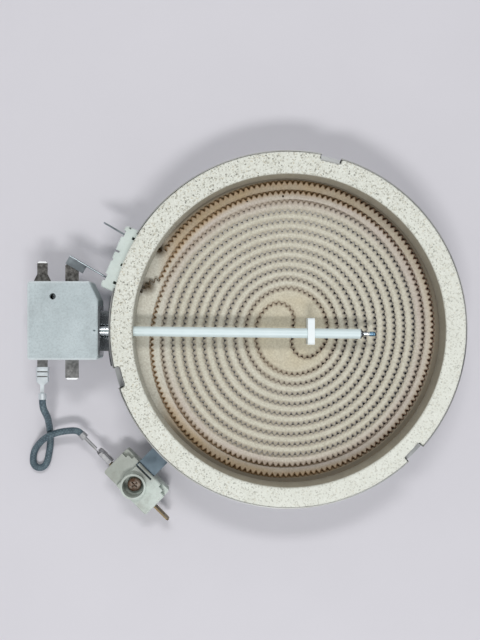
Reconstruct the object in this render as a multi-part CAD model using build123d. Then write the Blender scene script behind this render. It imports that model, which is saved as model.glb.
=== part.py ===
from build123d import *
from math import asin, atan2, cos, degrees, floor, hypot, radians, sin, sqrt, tan
import os

# Radiant heater unit in millimetres.
# Origin at the centre of the pan's underside, +Z up, the limiter on the -X side.

# Pan: pressed sheet steel.
pan_diameter = 167.0
sheet = 0.5
pan_corner_radius = 4.0
bead_radii = (28.0, 58.0)
bead_width = 8.0
bead_depth = 1.2
rim_proud = 2.5

# Insulation: moulded base disc with the rim ring standing on it.
base_thickness = 12.3
ring_height = 16.0
ring_width = 9.75
ring_edge = 0.4
ring_gap = 0.5
insulation_gap = 0.3

# Three locking tongues of the pan in notches of the ring.
tongue_angle = 75.8
tongue_count = 3
tongue_width = 9.4
tongue_depth = 2.8
tongue_height = 6.0
notch_gap = 0.4

# Ribbon: double spiral of arcs with an S in the middle. The first line's reach from the winding's centre and
# the spacing of the lines are given at each eighth of a turn, from the right and counter-clockwise.
winding_x = 2.0
winding_y = -1.7
line_reach = (17.7, 19.25, 21.5, 21.8, 21.7, 23.3, 24.75, 25.9)
line_spacing = (4.58, 4.645, 4.6, 4.575, 4.97, 5.13, 4.83, 4.58)
wall_gap = 2.4
s_lower = ((18.1, -7.3), (14.0, -11.9), (8.2, -13.4), (2.5, -6.0))
s_upper = ((3.5, 5.0), (-0.6, 11.8), (-7.6, 11.5), (-12.6, 6.6))
ribbon_height = 4.0
ribbon_thickness = 0.3
groove_width = 2.6
groove_depth = 3.4
tail_run = 9.0

# Limiter's sensor: ceramic tube over a metal rod, leaning a little sideways from the head.
axis_y = -0.7
sensor_lean = 0.66
rod_clear = 8.5
tube_diameter = 4.7
tube_bore = 2.5
rod_diameter = 2.0
tube_end_x = 34.3
washer_rim = 0.5
washer_cone = 1.0
rod_end_x = 38.7
tip_length = 2.7
support_x = 11.0
support_y = -0.9
support_thickness = 3.2
support_width = 12.4
support_above = 4.3
support_below = 5.0

# Limiter's head: two ceramic halves, the tabs in the seam.
head_gap = 4.9
head_width = 33.0
head_length = 36.7
head_below_rod = 13.5
head_height = 17.0
head_seam = 9.5
head_bottom = 11.0
head_wall = 2.6
head_corner = 1.5
head_edge = 1.0
head_chamfer_x = 4.2
head_chamfer_y = 8.8
bracket_sheet = 0.8
bracket_seat = 0.1
bracket_half = 9.4
bracket_drop = 7.5
bracket_rise = 3.4
web_half = 11.6
web_below_top = 0.8
foot_length = 7.0
foot_rivet = 4.2
rivet_drop = 4.5
collar_wall = 0.6
collar_slot = 0.9
prong_length = 1.9

# Tabs of the limiter.
tab_sheet = 0.8
power_tab_width = 6.3
signal_tab_width = 4.8
power_tab_back = 19.6
signal_tab_back = 5.6
tab_reach = 9.6
tab_inside = 3.6
slot_run = 1.0
shoulder_width = 8.4
shoulder_length = 3.6
dimple_depth = 0.4
bevel_drop = 0.3
bevel_run = 0.9

# Switches inside the head.
spring_sheet = 0.3
spring_height = 3.4
spring_root = 6.0
spring_past_rod = 9.0
contact_diameter = 3.0
contact_height = 0.6
plunger_diameter = 3.0
pin_diameter = 1.4
guide_start = 4.2
guide_length = 2.8
guide_half = 3.6
plunger_travel = 0.8
touch_gap = 0.15
root_gap = 0.25
closed_gap = 0.05
open_gap = 0.2
run_gap = 0.05
screw_x_back = 12.0
screw_y = 15.4
screw_diameter = 2.0
screw_head = 2.8
access_diameter = 3.0

# Terminal block in a window of the pan's wall.
block_gap = 2.5
block_length = 31.0
block_shift = 0.45
block_depth = 5.0
window_edge = 1.6
window_fit = 0.15
socket_size = 1.3
socket_depth = 6.0
socket_sides = (-10.6, 2.8, 11.8)
nicks = ((-2.3, 2.2), (2.15, 0.9))
nick_width = 1.0
block_height = 14.0
blade_spacing = 22.0
ear_inward = 4.0
ear_width = 3.0
ear_reach = 3.5
ear_rise = 2.0
blade_width = 6.3
blade_sheet = 0.8
blade_reach = 10.9
supply_turn = -7.0
lead_width = 2.4
link_reach = 0.6
link_turn = -7.3
link_length = 18.8
link_clear = 0.6
flange_start = 9.4
flange_width = 4.0
flange_bend = 0.5

# Connector block on its bracket.
connector_angle = 225.0
connector_start = 11.8
connector_depth = 15.7
connector_length = 28.8
connector_shift = 0.9
connector_height = 11.5
connector_bottom = 3.0
boss_offset = 1.3
boss_in = 5.9
boss_diameter = 12.3
boss_proud = 2.5
bore_diameter = 10.4
web_bottom = 3.0
web_thickness = 2.5
wing_run = 9.0
wing_drop = 2.0
step_run = 2.6
step_deep = 3.0
step_drop = 4.5
hook_width = 10.0
hook_lap = 1.3
hook_sunk = 2.6
hook_drop = 4.0
hook_foot = 1.0
strip_sheet = 0.8
strip_offset_left = 1.25
strip_offset_right = 0.6
strip_plate = 15.6
strip_plate_width = 6.0
strip_lap = 0.6
pocket_gap = 0.2
strip_blade_reach = 9.7
connector_screw = 3.4
connector_screw_head = 6.8

# Lead with a push-on receptacle at each end.
lead_diameter = 3.3
lead_stub = 1.5
receptacle_length = 8.6
receptacle_wall = 0.3
receptacle_side = 0.05
curl_height = 1.1
taper_run = 1.8
neck_half = 0.9
rib_depth = 0.2
rib_half = 0.25
short_neck = 4.0
long_neck = 8.6
crimp_length = 2.8
slip_gap = 0.1

# Sizes that follow.
pan_r = pan_diameter / 2
ring_outer = pan_r - sheet - ring_gap
ring_inner = ring_outer - ring_width
base_bottom = sheet + bead_depth
base_top = base_bottom + base_thickness
rim_top = base_top + ring_height
pan_top = rim_top - rim_proud
rod_z = base_top + rod_clear
tube_r = tube_diameter / 2
head_x1 = -(pan_r + head_gap)
head_x0 = head_x1 - head_width
head_y0 = axis_y - head_below_rod
head_y1 = head_y0 + head_length
seam_z = head_bottom + head_seam
head_top = head_bottom + head_height
power_x = head_x0 + power_tab_back
signal_x = head_x0 + signal_tab_back
spring_y = head_y1 - head_wall - spring_root / 2
blade_top = seam_z + blade_sheet
blade_bottom = blade_top - blade_width
block_out = pan_r + block_depth + insulation_gap
block_low = axis_y + bracket_half + foot_length + block_gap
block_y0 = block_shift - block_length / 2
block_y1 = block_shift + block_length / 2
block_lean = atan2(block_y1, pan_r)
block_angle = 180 - degrees(asin(block_low / hypot(pan_r, block_y1)) + block_lean)
lead_bottom = base_top + 0.2
lead_top = lead_bottom + lead_width


def box(x0, x1, y0, y1, z0, z1):
    """Box between two corners."""
    return Pos((x0 + x1) / 2, (y0 + y1) / 2, (z0 + z1) / 2) * Box(abs(x1 - x0), abs(y1 - y0), abs(z1 - z0))


def post(x, y, z0, z1, r):
    """Upright cylinder."""
    return Pos(x, y, (z0 + z1) / 2) * Cylinder(r, z1 - z0)


def bar(x0, x1, r):
    """Cylinder along X on the sensor's axis."""
    return Pos((x0 + x1) / 2, axis_y, rod_z) * Rot(0, 90, 0) * Cylinder(r, abs(x1 - x0))


def leaning(shape):
    """Shape on the sensor's axis turned by the sensor's lean about its end at the head."""
    return Pos(head_x1, axis_y, 0) * Rot(0, 0, -sensor_lean) * Pos(-head_x1, -axis_y, 0) * shape


def tube(z0, z1, r_in, r_out):
    """Upright tube round the pan's axis."""
    return post(0, 0, z0, z1, r_out) - post(0, 0, z0 - 1, z1 + 1, r_in)


def dish(inset, top):
    """Solid inside the pan's outer face moved in by inset, filled up to top."""
    bead_r = (bead_width ** 2 / 4 + bead_depth ** 2) / (2 * bead_depth) + inset
    half = sqrt(bead_r ** 2 - (bead_r - bead_depth) ** 2)
    corner = pan_corner_radius - inset
    corner_x = pan_r - pan_corner_radius
    edges = []
    x = 0.0
    for r in bead_radii:
        edges.append(Line((x, 0, inset), (r - half, 0, inset)))
        edges.append(ThreePointArc((r - half, 0, inset), (r, 0, inset + bead_depth), (r + half, 0, inset)))
        x = r + half
    mid = corner * sqrt(0.5)
    edges.append(Line((x, 0, inset), (corner_x, 0, inset)))
    edges.append(
        ThreePointArc(
            (corner_x, 0, inset),
            (corner_x + mid, 0, pan_corner_radius - mid),
            (pan_r - inset, 0, pan_corner_radius),
        )
    )
    edges.append(Line((pan_r - inset, 0, pan_corner_radius), (pan_r - inset, 0, top)))
    edges.append(Line((pan_r - inset, 0, top), (0, 0, top)))
    edges.append(Line((0, 0, top), (0, 0, inset)))
    return revolve(Face(Wire(edges)), Axis.Z, 360)


def tongue_places():
    """Turns that carry a piece at angle 0 to each locking tongue."""
    return [Rot(0, 0, tongue_angle + 360 * k / tongue_count) for k in range(tongue_count)]


def block_side(side):
    """Local y of the terminal block's supply lead (-1) or link lead (+1)."""
    return side * blade_spacing / 2


def block_ear(side, gap):
    """Tongue of the pan that carries the terminal block, grown by gap."""
    y = block_side(side) - side * ear_inward
    half = ear_width / 2 + gap
    z = block_bottom + ear_rise
    return box(pan_r * 0.95, pan_r + ear_reach + gap, y - half, y + half, z - gap, z + sheet + gap)


def block_window(gap):
    """Opening of the pan's wall for the terminal block, less gap, from the tongues' top to the rim."""
    low = block_bottom + ear_rise + sheet + gap
    inset = window_edge + gap
    return box(pan_r / 2, pan_r + 1, block_y0 + inset, block_y1 - inset, low, pan_top + 1)


def make_pan():
    """Dish with three locking tongues, a rod hole, and a window with two tongues for the terminal block."""
    outer = dish(0, pan_top)
    pan = outer - dish(sheet, pan_top + 1)
    foot = pan_top - tongue_height
    inner = pan_r - sheet - tongue_depth
    half = tongue_width / 2
    for place in tongue_places():
        pan -= place * box(inner, pan_r + 1, -half, half, foot, pan_top + 1)
        shelf = box(inner, pan_r, -half, half, foot - sheet, foot)
        blade = box(inner, inner + sheet, -half, half, foot - sheet, pan_top)
        pan += place * ((shelf + blade) & outer)
    pan -= leaning(bar(-pan_r - 1, -pan_r + 3, tube_r + insulation_gap))
    turn = Rot(0, 0, block_angle)
    pan -= turn * block_window(0)
    for side in (-1, 1):
        pan += turn * (block_ear(side, 0) - post(0, 0, 0, pan_top, pan_r - sheet / 2))
    for hole in bracket_holes() + hook_holes():
        pan -= hole
    return pan


def rivet_hole(y, z):
    """Hole through the pan's wall at angle 0."""
    depth = sheet + bracket_seat + bracket_sheet + 1
    return Pos(pan_r, y, z) * Rot(0, 90, 0) * Cylinder(rivet_r + run_gap, 2 * depth)


def bracket_holes():
    """Rivet holes of the limiter's bracket."""
    return [Rot(0, 0, 180 + side * foot_angle) * rivet_hole(0, rivet_z) for side in (-1, 1)]


def hook_holes():
    """Rivet holes of the connector's bracket."""
    turn = Rot(0, 0, connector_angle)
    return [turn * rivet_hole(side * hook_width / 4, hook_rivet_z) for side in (-1, 1)]


# Winding: an arc is (centre x, centre y, radius, start angle, end angle), in the order of travel.
turns = floor((ring_inner - wall_gap - winding_x - line_reach[0]) / line_spacing[0])


def line_point(eighth, line):
    """Point of a line of the winding, some eighths of a turn on from its crossing on the right."""
    turn, place = divmod(eighth, 8)
    reach = line_reach[place] + line_spacing[place] * (line + 2 * turn)
    angle = radians(45 * place)
    return (winding_x + reach * cos(angle), winding_y + reach * sin(angle))


def arc_through(a, b, c):
    """Arc from a through b to c."""
    bend = 2 * ((b[0] - a[0]) * (c[1] - a[1]) - (c[0] - a[0]) * (b[1] - a[1]))
    far = [x * x + y * y for x, y in (a, b, c)]
    cx = (far[0] * (b[1] - c[1]) + far[1] * (c[1] - a[1]) + far[2] * (a[1] - b[1])) / bend
    cy = (far[0] * (c[0] - b[0]) + far[1] * (a[0] - c[0]) + far[2] * (b[0] - a[0])) / bend
    start = degrees(atan2(a[1] - cy, a[0] - cx))
    end = degrees(atan2(c[1] - cy, c[0] - cx))
    swing = (end - start) % 360 if bend > 0 else -((start - end) % 360)
    return (cx, cy, sqrt((a[0] - cx) ** 2 + (a[1] - cy) ** 2), start, start + swing)


def lead_end(arc, side, back):
    """Angle where an outer arc comes within back of the lead on that side of the terminal block."""
    cx, cy, r = arc[:3]
    turn = radians(block_angle)
    reach = block_side(side) - back + cx * sin(turn) - cy * cos(turn)
    return block_angle + degrees(asin(reach / r))


def lead_arc(line):
    """End of an arm, from the top of its last line to its lead at the terminal block."""
    arc = (winding_x, winding_y, line_reach[2] + line_spacing[2] * line)
    side = 1 if line == turns - 1 else -1
    back = tail_run if side == 1 else blade_sheet / 2 + ribbon_thickness
    return arc + (90.0, lead_end(arc, side, back))


def arm(line):
    """Arcs of one arm outwards, from the S to its lead."""
    first = line % 2
    quarters = range(-4 * first, 4 * (line - first) + 2, 2)
    arcs = [arc_through(*[line_point(n + k, first) for k in range(3)]) for n in quarters]
    return arcs + [lead_arc(line)]


def s_bend():
    """Middle of the winding, from the innermost right crossing to the innermost left one."""
    return [
        arc_through(line_point(0, 0), s_lower[0], s_lower[1]),
        arc_through(s_lower[1], s_lower[2], s_lower[3]),
        (s_lower[3], s_upper[0]),
        arc_through(s_upper[0], s_upper[1], s_upper[2]),
        arc_through(s_upper[2], s_upper[3], line_point(-4, 1)),
    ]


def winding():
    """Whole ribbon, lead to lead."""
    first, second = (turns, turns - 1) if turns % 2 == 0 else (turns - 1, turns)
    inwards = [arc[:3] + (arc[4], arc[3]) for arc in reversed(arm(first))]
    return inwards + s_bend() + arm(second)


def side_points(step, shift):
    """Start, middle and end of a step of the path, moved to its left by shift."""
    if len(step) == 2:
        (x0, y0), (x1, y1) = step
        length = sqrt((x1 - x0) ** 2 + (y1 - y0) ** 2)
        dx = -(y1 - y0) / length * shift
        dy = (x1 - x0) / length * shift
        return [(x0 + dx, y0 + dy), ((x0 + x1) / 2 + dx, (y0 + y1) / 2 + dy), (x1 + dx, y1 + dy)]
    cx, cy, r, start, end = step
    r_side = r - shift if end > start else r + shift
    spots = [radians(start), radians((start + end) / 2), radians(end)]
    return [(cx + r_side * cos(a), cy + r_side * sin(a)) for a in spots]


def side_edges(path, shift):
    """Edges of the path moved to its left by shift, meeting where its steps meet."""
    sides = [side_points(step, shift) for step in path]
    for side, other in zip(sides, sides[1:]):
        meet = ((side[2][0] + other[0][0]) / 2, (side[2][1] + other[0][1]) / 2)
        side[2] = meet
        other[0] = meet
    return [Line(s[0], s[2]) if len(step) == 2 else ThreePointArc(*s) for step, s in zip(path, sides)]


def band(width, z0, z1):
    """Wall of the given width along the winding."""
    path = winding()
    left = side_edges(path, width / 2)
    right = side_edges(path, -width / 2)
    ends = [Line(left[-1] @ 1, right[-1] @ 1), Line(left[0] @ 0, right[0] @ 0)]
    return Pos(0, 0, z0) * extrude(Face(Wire(left + right + ends)), z1 - z0, dir=(0, 0, 1))


def arc_point(arc, angle):
    """Point of an arc at an angle."""
    return (arc[0] + arc[2] * cos(radians(angle)), arc[1] + arc[2] * sin(radians(angle)))


def local(x, y, angle):
    """Plan point of a place given radially and sideways at an angle round the pan."""
    a = radians(angle)
    return (x * cos(a) - y * sin(a), x * sin(a) + y * cos(a))


def strip(p, q, width, z0, z1):
    """Upright strip standing on the line from p to q."""
    length = sqrt((q[0] - p[0]) ** 2 + (q[1] - p[1]) ** 2)
    turn = degrees(atan2(q[1] - p[1], q[0] - p[0]))
    return Pos(p[0], p[1], 0) * Rot(0, 0, turn) * box(0, length, -width / 2, width / 2, z0, z1)


groove_floor = base_top - groove_depth
supply_inner = ring_inner - 3.2
link_inner = ring_inner - 2.4
tail_start = arc_point(lead_arc(turns - 1), lead_arc(turns - 1)[4] - 0.5)
tail_end = local(link_inner - 0.2, block_side(1) - blade_sheet / 2, block_angle)


def make_ribbon():
    """Resistance ribbon on edge in its groove, with a tail to the link lead."""
    top = groove_floor + ribbon_height
    ribbon = band(ribbon_thickness, groove_floor, top)
    return ribbon + strip(tail_start, tail_end, ribbon_thickness, base_top + slip_gap, top)


def make_base():
    """Base disc with the ribbon's groove and the pocket of the rod support."""
    base = post(0, 0, base_bottom, base_top, ring_outer)
    base = chamfer(base.edges().group_by(Axis.Z)[0], pan_corner_radius / 2)
    base -= band(groove_width, groove_floor, base_top + 1)
    return base - support_block(slip_gap, base_top - support_below, base_top + 1)


def support_block(gap, z0, z1):
    """Outline of the rod support grown by gap."""
    half_x = support_thickness / 2 + gap
    half_y = support_width / 2 + gap
    return box(support_x - half_x, support_x + half_x, support_y - half_y, support_y + half_y, z0, z1)


def make_support():
    """Ceramic post with the hole that carries the rod."""
    body = support_block(0, base_top - support_below, rod_z + support_above)
    body = chamfer(body.edges().filter_by(Axis.X).group_by(Axis.Z)[-1], 0.6)
    hole = bar(support_x - support_thickness, support_x + support_thickness, tube_r + slip_gap)
    return body - leaning(hole)


def make_ring():
    """Rim ring with notches for the pan's tongues, the rod hole and two lead channels."""
    ring = tube(base_top, rim_top, ring_inner, ring_outer)
    ring = chamfer(ring.edges().group_by(Axis.Z)[-1], ring_edge)
    foot = pan_top - tongue_height - sheet - notch_gap
    inner = pan_r - sheet - tongue_depth - notch_gap
    half = tongue_width / 2 + notch_gap
    for place in tongue_places():
        ring -= place * box(inner, pan_r + 1, -half, half, foot, rim_top + 1)
    ring -= leaning(bar(-pan_r, -ring_inner + tube_diameter, tube_r + insulation_gap))
    for side in (-1, 1):
        y = block_side(side)
        channel = box(ring_inner - ring_width, pan_r, y - 1.2, y + 1.2, base_top - 1, lead_top + 0.4)
        ring -= Rot(0, 0, block_angle) * channel
    return ring


def make_sensor():
    """Ceramic tube, metal rod, end washer and crimped tip on the sensor's axis."""
    rod_r = rod_diameter / 2
    sensor = bar(head_x1 + bracket_sheet + run_gap, tube_end_x, tube_r)
    sensor -= bar(head_x1 - 1, tube_end_x + 1, tube_bore / 2)
    rod = bar(head_x1 - head_wall, rod_end_x, rod_r)
    cone_x = tube_end_x + washer_rim + washer_cone / 2
    cone = Pos(cone_x, axis_y, rod_z) * Rot(0, 90, 0) * Cone(tube_r * 0.8, rod_r + 0.25, washer_cone)
    washer = bar(tube_end_x, tube_end_x + washer_rim, tube_r) + cone
    washer -= bar(tube_end_x - 1, rod_end_x, rod_r + run_gap)
    tip = bar(rod_end_x, rod_end_x + tip_length, rod_r + 0.15)
    tip = chamfer(tip.edges().group_by(Axis.X)[-1], 0.3)
    return [leaning(piece) for piece in (sensor, rod, washer, tip)]


def head_outline(inset):
    """Plan of the limiter's head moved in by inset, with its cut corner."""
    x0 = head_x0 + inset
    x1 = head_x1 - inset
    y0 = head_y0 + inset
    y1 = head_y1 - inset
    cut_x = head_chamfer_x
    cut_y = head_chamfer_y
    points = [(x0, y0), (x1, y0), (x1, y1 - cut_y), (x1 - cut_x, y1), (x0, y1)]
    face = make_face(Polyline(*points, close=True))
    return fillet(face.vertices(), head_corner) if inset == 0 else face


def head_prism(inset, z0, z1):
    """Head's plan moved in by inset, from z0 to z1."""
    return Pos(0, 0, z0) * extrude(head_outline(inset), z1 - z0, dir=(0, 0, 1))


def tab_slots(gap):
    """Passages of the four tabs through the head's walls."""
    slots = []
    for x, width in ((power_x, power_tab_width), (signal_x, signal_tab_width)):
        half = width / 2 + gap
        z = seam_z - tab_sheet - gap
        deep = head_wall + slot_run
        slots.append(box(x - half, x + half, head_y1 - deep, head_y1 + 1, z, seam_z))
        slots.append(box(x - half, x + half, head_y0 - 1, head_y0 + deep, z, seam_z))
    return slots


def prongs(gap):
    """Prongs of the bracket that hold both halves of the head."""
    found = []
    for side in (-1, 1):
        y = axis_y + side * (bracket_half - bracket_sheet / 2)
        half = bracket_sheet / 2 + gap
        x = head_x1 - prong_length - gap
        for z in (head_bottom + 3.0, seam_z + 2.0):
            found.append(box(x, head_x1 + gap, y - half, y + half, z - gap, z + prong_length + gap))
    return found


def make_head():
    """Lower and upper ceramic halves of the limiter."""
    floor_z = head_bottom + head_wall
    lower = head_prism(0, head_bottom, seam_z) - head_prism(head_wall, floor_z, seam_z + 1)
    guide_top = rod_z + plunger_diameter / 2 + 1
    guide_x1 = head_x1 - guide_start
    guide_x0 = guide_x1 - guide_length
    lower += box(guide_x0, guide_x1, axis_y - guide_half, axis_y + guide_half, floor_z - 0.5, guide_top)
    lower += post(screw_x, screw_y, floor_z - 0.5, seam_z - 1.5, screw_diameter / 2 + 1.2)
    lower -= post(screw_x, screw_y, floor_z, seam_z, screw_diameter / 2 + run_gap)
    lower -= bar(guide_x0 - 1, guide_x1 + 1, plunger_diameter / 2 + run_gap)
    upper = head_prism(0, seam_z, head_top)
    upper = fillet(upper.edges().group_by(Axis.Z)[-1], head_edge)
    upper -= head_prism(head_wall, seam_z - 1, head_top - head_wall)
    upper -= post(screw_x, screw_y, seam_z, head_top + 1, access_diameter / 2)
    upper -= post(head_x1 - 1.6, axis_y + 0.2, head_top - 1.0, head_top + 1, 0.5)
    hole = bar(head_x1 - head_wall - 1, head_x1 + 1, rod_diameter / 2 + 0.6)
    lower -= hole
    upper -= hole
    for cut in tab_slots(slip_gap):
        lower -= cut
    for cut in prongs(slip_gap):
        lower -= cut
        upper -= cut
    return lower, upper


screw_x = head_x0 + screw_x_back
foot_angle = degrees(asin((bracket_half + foot_rivet) / pan_r))
rivet_z = rod_z - rivet_drop
rivet_r = 1.2
hook_rivet_z = connector_bottom + 2.4
block_bottom = blade_bottom - (block_height - blade_width) / 2
power_spring_x = power_x
signal_spring_x = signal_x + signal_tab_width / 2 - 0.2
contact_y = axis_y - spring_past_rod + contact_diameter / 2
contact_swing = plunger_travel * (spring_y - contact_y) / (spring_y - axis_y)


def shell_sector(r0, r1, y0, y1, z0, z1):
    """Piece of an upright tube on the -X side between two values of y."""
    return tube(z0, z1, r0, r1) & box(-r1 - 1, 0, y0, y1, z0, z1)


def make_bracket():
    """Steel bracket between the head and the pan's wall, a tray with two arms and two feet."""
    inner = pan_r + bracket_seat
    z0 = rod_z - bracket_drop
    z1 = rod_z + bracket_rise
    y0 = axis_y - bracket_half
    y1 = axis_y + bracket_half
    web_y0 = axis_y - web_half
    web_y1 = axis_y + web_half
    web = box(head_x1, head_x1 + bracket_sheet, web_y0, web_y1, z0, head_top - web_below_top)
    arms = box(head_x1, -pan_r * 0.9, y1 - bracket_sheet, y1, z0, z1)
    arms += box(head_x1, -pan_r * 0.9, y0, y0 + bracket_sheet, z0, z1)
    arms += box(head_x1, -pan_r * 0.9, y0, y1, z0, z0 + bracket_sheet)
    arms -= post(0, 0, z0 - 1, z1 + 1, inner)
    feet = shell_sector(inner, inner + bracket_sheet, y1 - bracket_sheet, y1 + foot_length, z0, z1)
    feet += shell_sector(inner, inner + bracket_sheet, y0 - foot_length, y0 + bracket_sheet, z0, z1)
    bracket = web + arms + feet
    for prong in prongs(0):
        bracket += prong
    for hole in bracket_holes():
        bracket -= hole
    return bracket - bar(head_x1 - 1, head_x1 + 2, rod_diameter / 2 + 0.6)


def wall_rivet():
    """Rivet through the pan's wall and a bracket's foot at angle 0."""
    grip_in = pan_r - sheet
    grip_out = pan_r + bracket_seat + bracket_sheet + slip_gap
    shank = Rot(0, 90, 0) * Cylinder(rivet_r, grip_out - grip_in)
    shank = Pos((grip_in + grip_out) / 2, 0, 0) * shank
    head = Pos(grip_out + 0.45, 0, 0) * Rot(0, 90, 0) * Cone(rivet_r * 1.8, rivet_r * 1.1, 0.9)
    return shank + head


def make_collar():
    """Metal sleeve over the tube between bracket and pan, slit along its top."""
    r = tube_r + slip_gap
    start = head_x1 + bracket_sheet + run_gap
    half = collar_slot / 2
    collar = bar(start, -pan_r - 0.4, r + collar_wall) - bar(head_x1, -pan_r + 1, r)
    collar -= box(start - 1, -pan_r, axis_y - half, axis_y + half, rod_z, rod_z + tube_diameter)
    return leaning(collar)


link_bend = local(block_out + link_reach, block_side(1), block_angle)
link_lean = radians(180 - block_angle - link_turn)
link_face = link_bend[1] + (link_bend[0] - power_x - power_tab_width / 2) * tan(link_lean)
linked_reach = link_face - blade_sheet / 2 / cos(link_lean) - link_clear - head_y1


def tab(x, width, side, lug_x0, shoulder, reach):
    """Blade tab in the seam of the head, its inner lug at lug_x0, with a shoulder of the given width."""
    lug_x1 = lug_x0 + tab_sheet
    edge = head_y1 if side > 0 else head_y0
    tip = edge + side * reach
    inner = edge - side * (head_wall + slot_run - slip_gap)
    z0 = seam_z - tab_sheet
    blade = box(x - width / 2, x + width / 2, min(tip, inner), max(tip, inner), z0, seam_z)
    corners = blade.edges().filter_by(Axis.Z).sort_by(Axis.Y)
    blade = chamfer(corners[-2:] if side > 0 else corners[:2], width * 0.16)
    blade -= post(x, tip - side * reach * 0.45, seam_z - dimple_depth, seam_z + 1, 0.9)
    near = tip - side * bevel_run
    far = tip + side * bevel_run
    wedge = [(near, seam_z), (far, seam_z - 2 * bevel_drop), (far, seam_z + 1), (near, seam_z + 1)]
    wedge = make_face(Polyline(*[(x - width, y, z) for y, z in wedge], close=True))
    blade -= extrude(wedge, 2 * width, dir=(1, 0, 0))
    foot_y = edge - side * (head_wall + slip_gap)
    foot_end = edge - side * (head_wall + tab_inside)
    foot = box(min(x, lug_x0), max(x, lug_x1), min(foot_y, foot_end), max(foot_y, foot_end), z0, seam_z)
    lug = box(lug_x0, lug_x1, min(foot_y, foot_end), max(foot_y, foot_end), z0, rod_z + spring_height / 2)
    rest = edge + side * shoulder_length
    flare = [(x - shoulder / 2, edge), (x + shoulder / 2, edge), (x + width / 2, rest), (x - width / 2, rest)]
    flare = make_face(Polyline(*flare, close=True))
    blade += Pos(0, 0, z0) * extrude(flare, tab_sheet, dir=(0, 0, 1))
    return blade + foot + lug


def leaf(x, hole):
    """Leaf spring across the rod's axis, with a hole where the plunger's pin passes."""
    z0 = rod_z - spring_height / 2
    z1 = rod_z + spring_height / 2
    y0 = axis_y - spring_past_rod
    y1 = head_y1 - head_wall - 0.4
    blade = box(x - spring_sheet / 2, x + spring_sheet / 2, y0, y1, z0, z1)
    if hole:
        blade -= bar(x - 1, x + 1, pin_diameter / 2 + 0.3)
    return blade


def contact(x0, x1):
    """Contact button on a spring or a lug."""
    button = Rot(0, 90, 0) * Cylinder(contact_diameter / 2, abs(x1 - x0))
    return Pos((x0 + x1) / 2, contact_y, rod_z) * button


def make_switches():
    """Tabs, springs and contacts of the power and the signal switch."""
    half = spring_sheet / 2
    closed = power_spring_x + half + contact_height + closed_gap
    power_lug = closed + contact_height
    open_x = signal_spring_x - half - contact_height - contact_swing - open_gap
    signal_lug = open_x - contact_height
    signal_foot = signal_lug - tab_sheet
    power_root = power_spring_x + half + root_gap
    signal_root = signal_spring_x + half + root_gap
    return {
        "power_tab_upper": tab(power_x, power_tab_width, 1, power_root, power_tab_width, linked_reach),
        "power_tab_lower": tab(power_x, power_tab_width, -1, power_lug, power_tab_width, tab_reach),
        "signal_tab_upper": tab(signal_x, signal_tab_width, 1, signal_root, shoulder_width, tab_reach),
        "signal_tab_lower": tab(signal_x, signal_tab_width, -1, signal_foot, signal_tab_width, tab_reach),
        "power_spring": leaf(power_spring_x, True),
        "signal_spring": leaf(signal_spring_x, False),
        "power_contact_moving": contact(power_spring_x + half, power_spring_x + half + contact_height),
        "power_contact_fixed": contact(closed, power_lug),
        "signal_contact_moving": contact(signal_spring_x - half, signal_spring_x - half - contact_height),
        "signal_contact_fixed": contact(open_x, signal_lug),
    }


def make_plunger():
    """Plunger that the rod drives: shoulder on the power spring, pin on the signal spring."""
    shoulder = power_spring_x + spring_sheet / 2 + touch_gap
    body = bar(head_x1 - head_wall - touch_gap, shoulder, plunger_diameter / 2)
    return body + bar(shoulder, signal_spring_x + spring_sheet / 2 + touch_gap, pin_diameter / 2)


def make_adjuster():
    """Adjusting screw under the access hole."""
    neck = seam_z + 1.0
    screw = post(screw_x, screw_y, head_bottom + head_wall + 0.5, neck, screw_diameter / 2)
    screw += post(screw_x, screw_y, neck, neck + 1.4, screw_head / 2)
    return screw - box(screw_x - 2, screw_x + 2, screw_y - 0.3, screw_y + 0.3, neck + 0.7, neck + 2)


def make_block():
    """Ceramic terminal block with two blade passages, three sockets and face nicks."""
    top = block_bottom + block_height
    block = box(0, block_out, block_y0, block_y1, block_bottom, top)
    block = fillet(block.edges().filter_by(Axis.Z).sort_by(Axis.X)[-2:], 1.6)
    block = chamfer(block.edges().group_by(Axis.Z)[-1], 0.5)
    block -= post(0, 0, 0, top + 1, pan_r + insulation_gap)
    tenon = block_window(window_fit) & post(0, 0, block_bottom, top, pan_r + 1)
    block += tenon - post(0, 0, 0, top + 1, ring_outer + slip_gap)
    half = blade_sheet / 2 + slip_gap
    for side in (-1, 1):
        y = block_side(side)
        block -= box(0, block_out + 1, y - half, y + half, blade_bottom - slip_gap, blade_top + slip_gap)
        block -= box(0, pan_r + 1.4, y - half, y + half, lead_bottom - slip_gap, lead_top + slip_gap)
        block -= box(block_out - 1.2, block_out + 1, y - 1.6, y + 1.6, block_bottom - 1, top + 1)
        block -= block_ear(side, slip_gap)
    wide = nick_width / 2
    for y, deep in nicks:
        block -= box(block_out - deep, block_out + 1, y - wide, y + wide, block_bottom - 1, top + 1)
    mid = block_out - block_depth / 2
    block -= box(mid - wide, mid + wide, block_y0 - 1, block_y0 + nick_width, block_bottom - 1, top + 1)
    wide = socket_size / 2
    for y in socket_sides:
        block -= box(0, ring_outer + socket_size, y - wide, y + wide, top - socket_depth, top + 1)
    return Rot(0, 0, block_angle) * block


def lead_blade(y, x_in, x_out):
    """Flat terminal on edge: a narrow lead inside the pan, a full blade outside it."""
    half = blade_sheet / 2
    lead = box(x_in, pan_r + 1.2, y - half, y + half, lead_bottom, lead_top)
    return lead + box(pan_r + 0.9, x_out, y - half, y + half, blade_bottom, blade_top)


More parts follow.
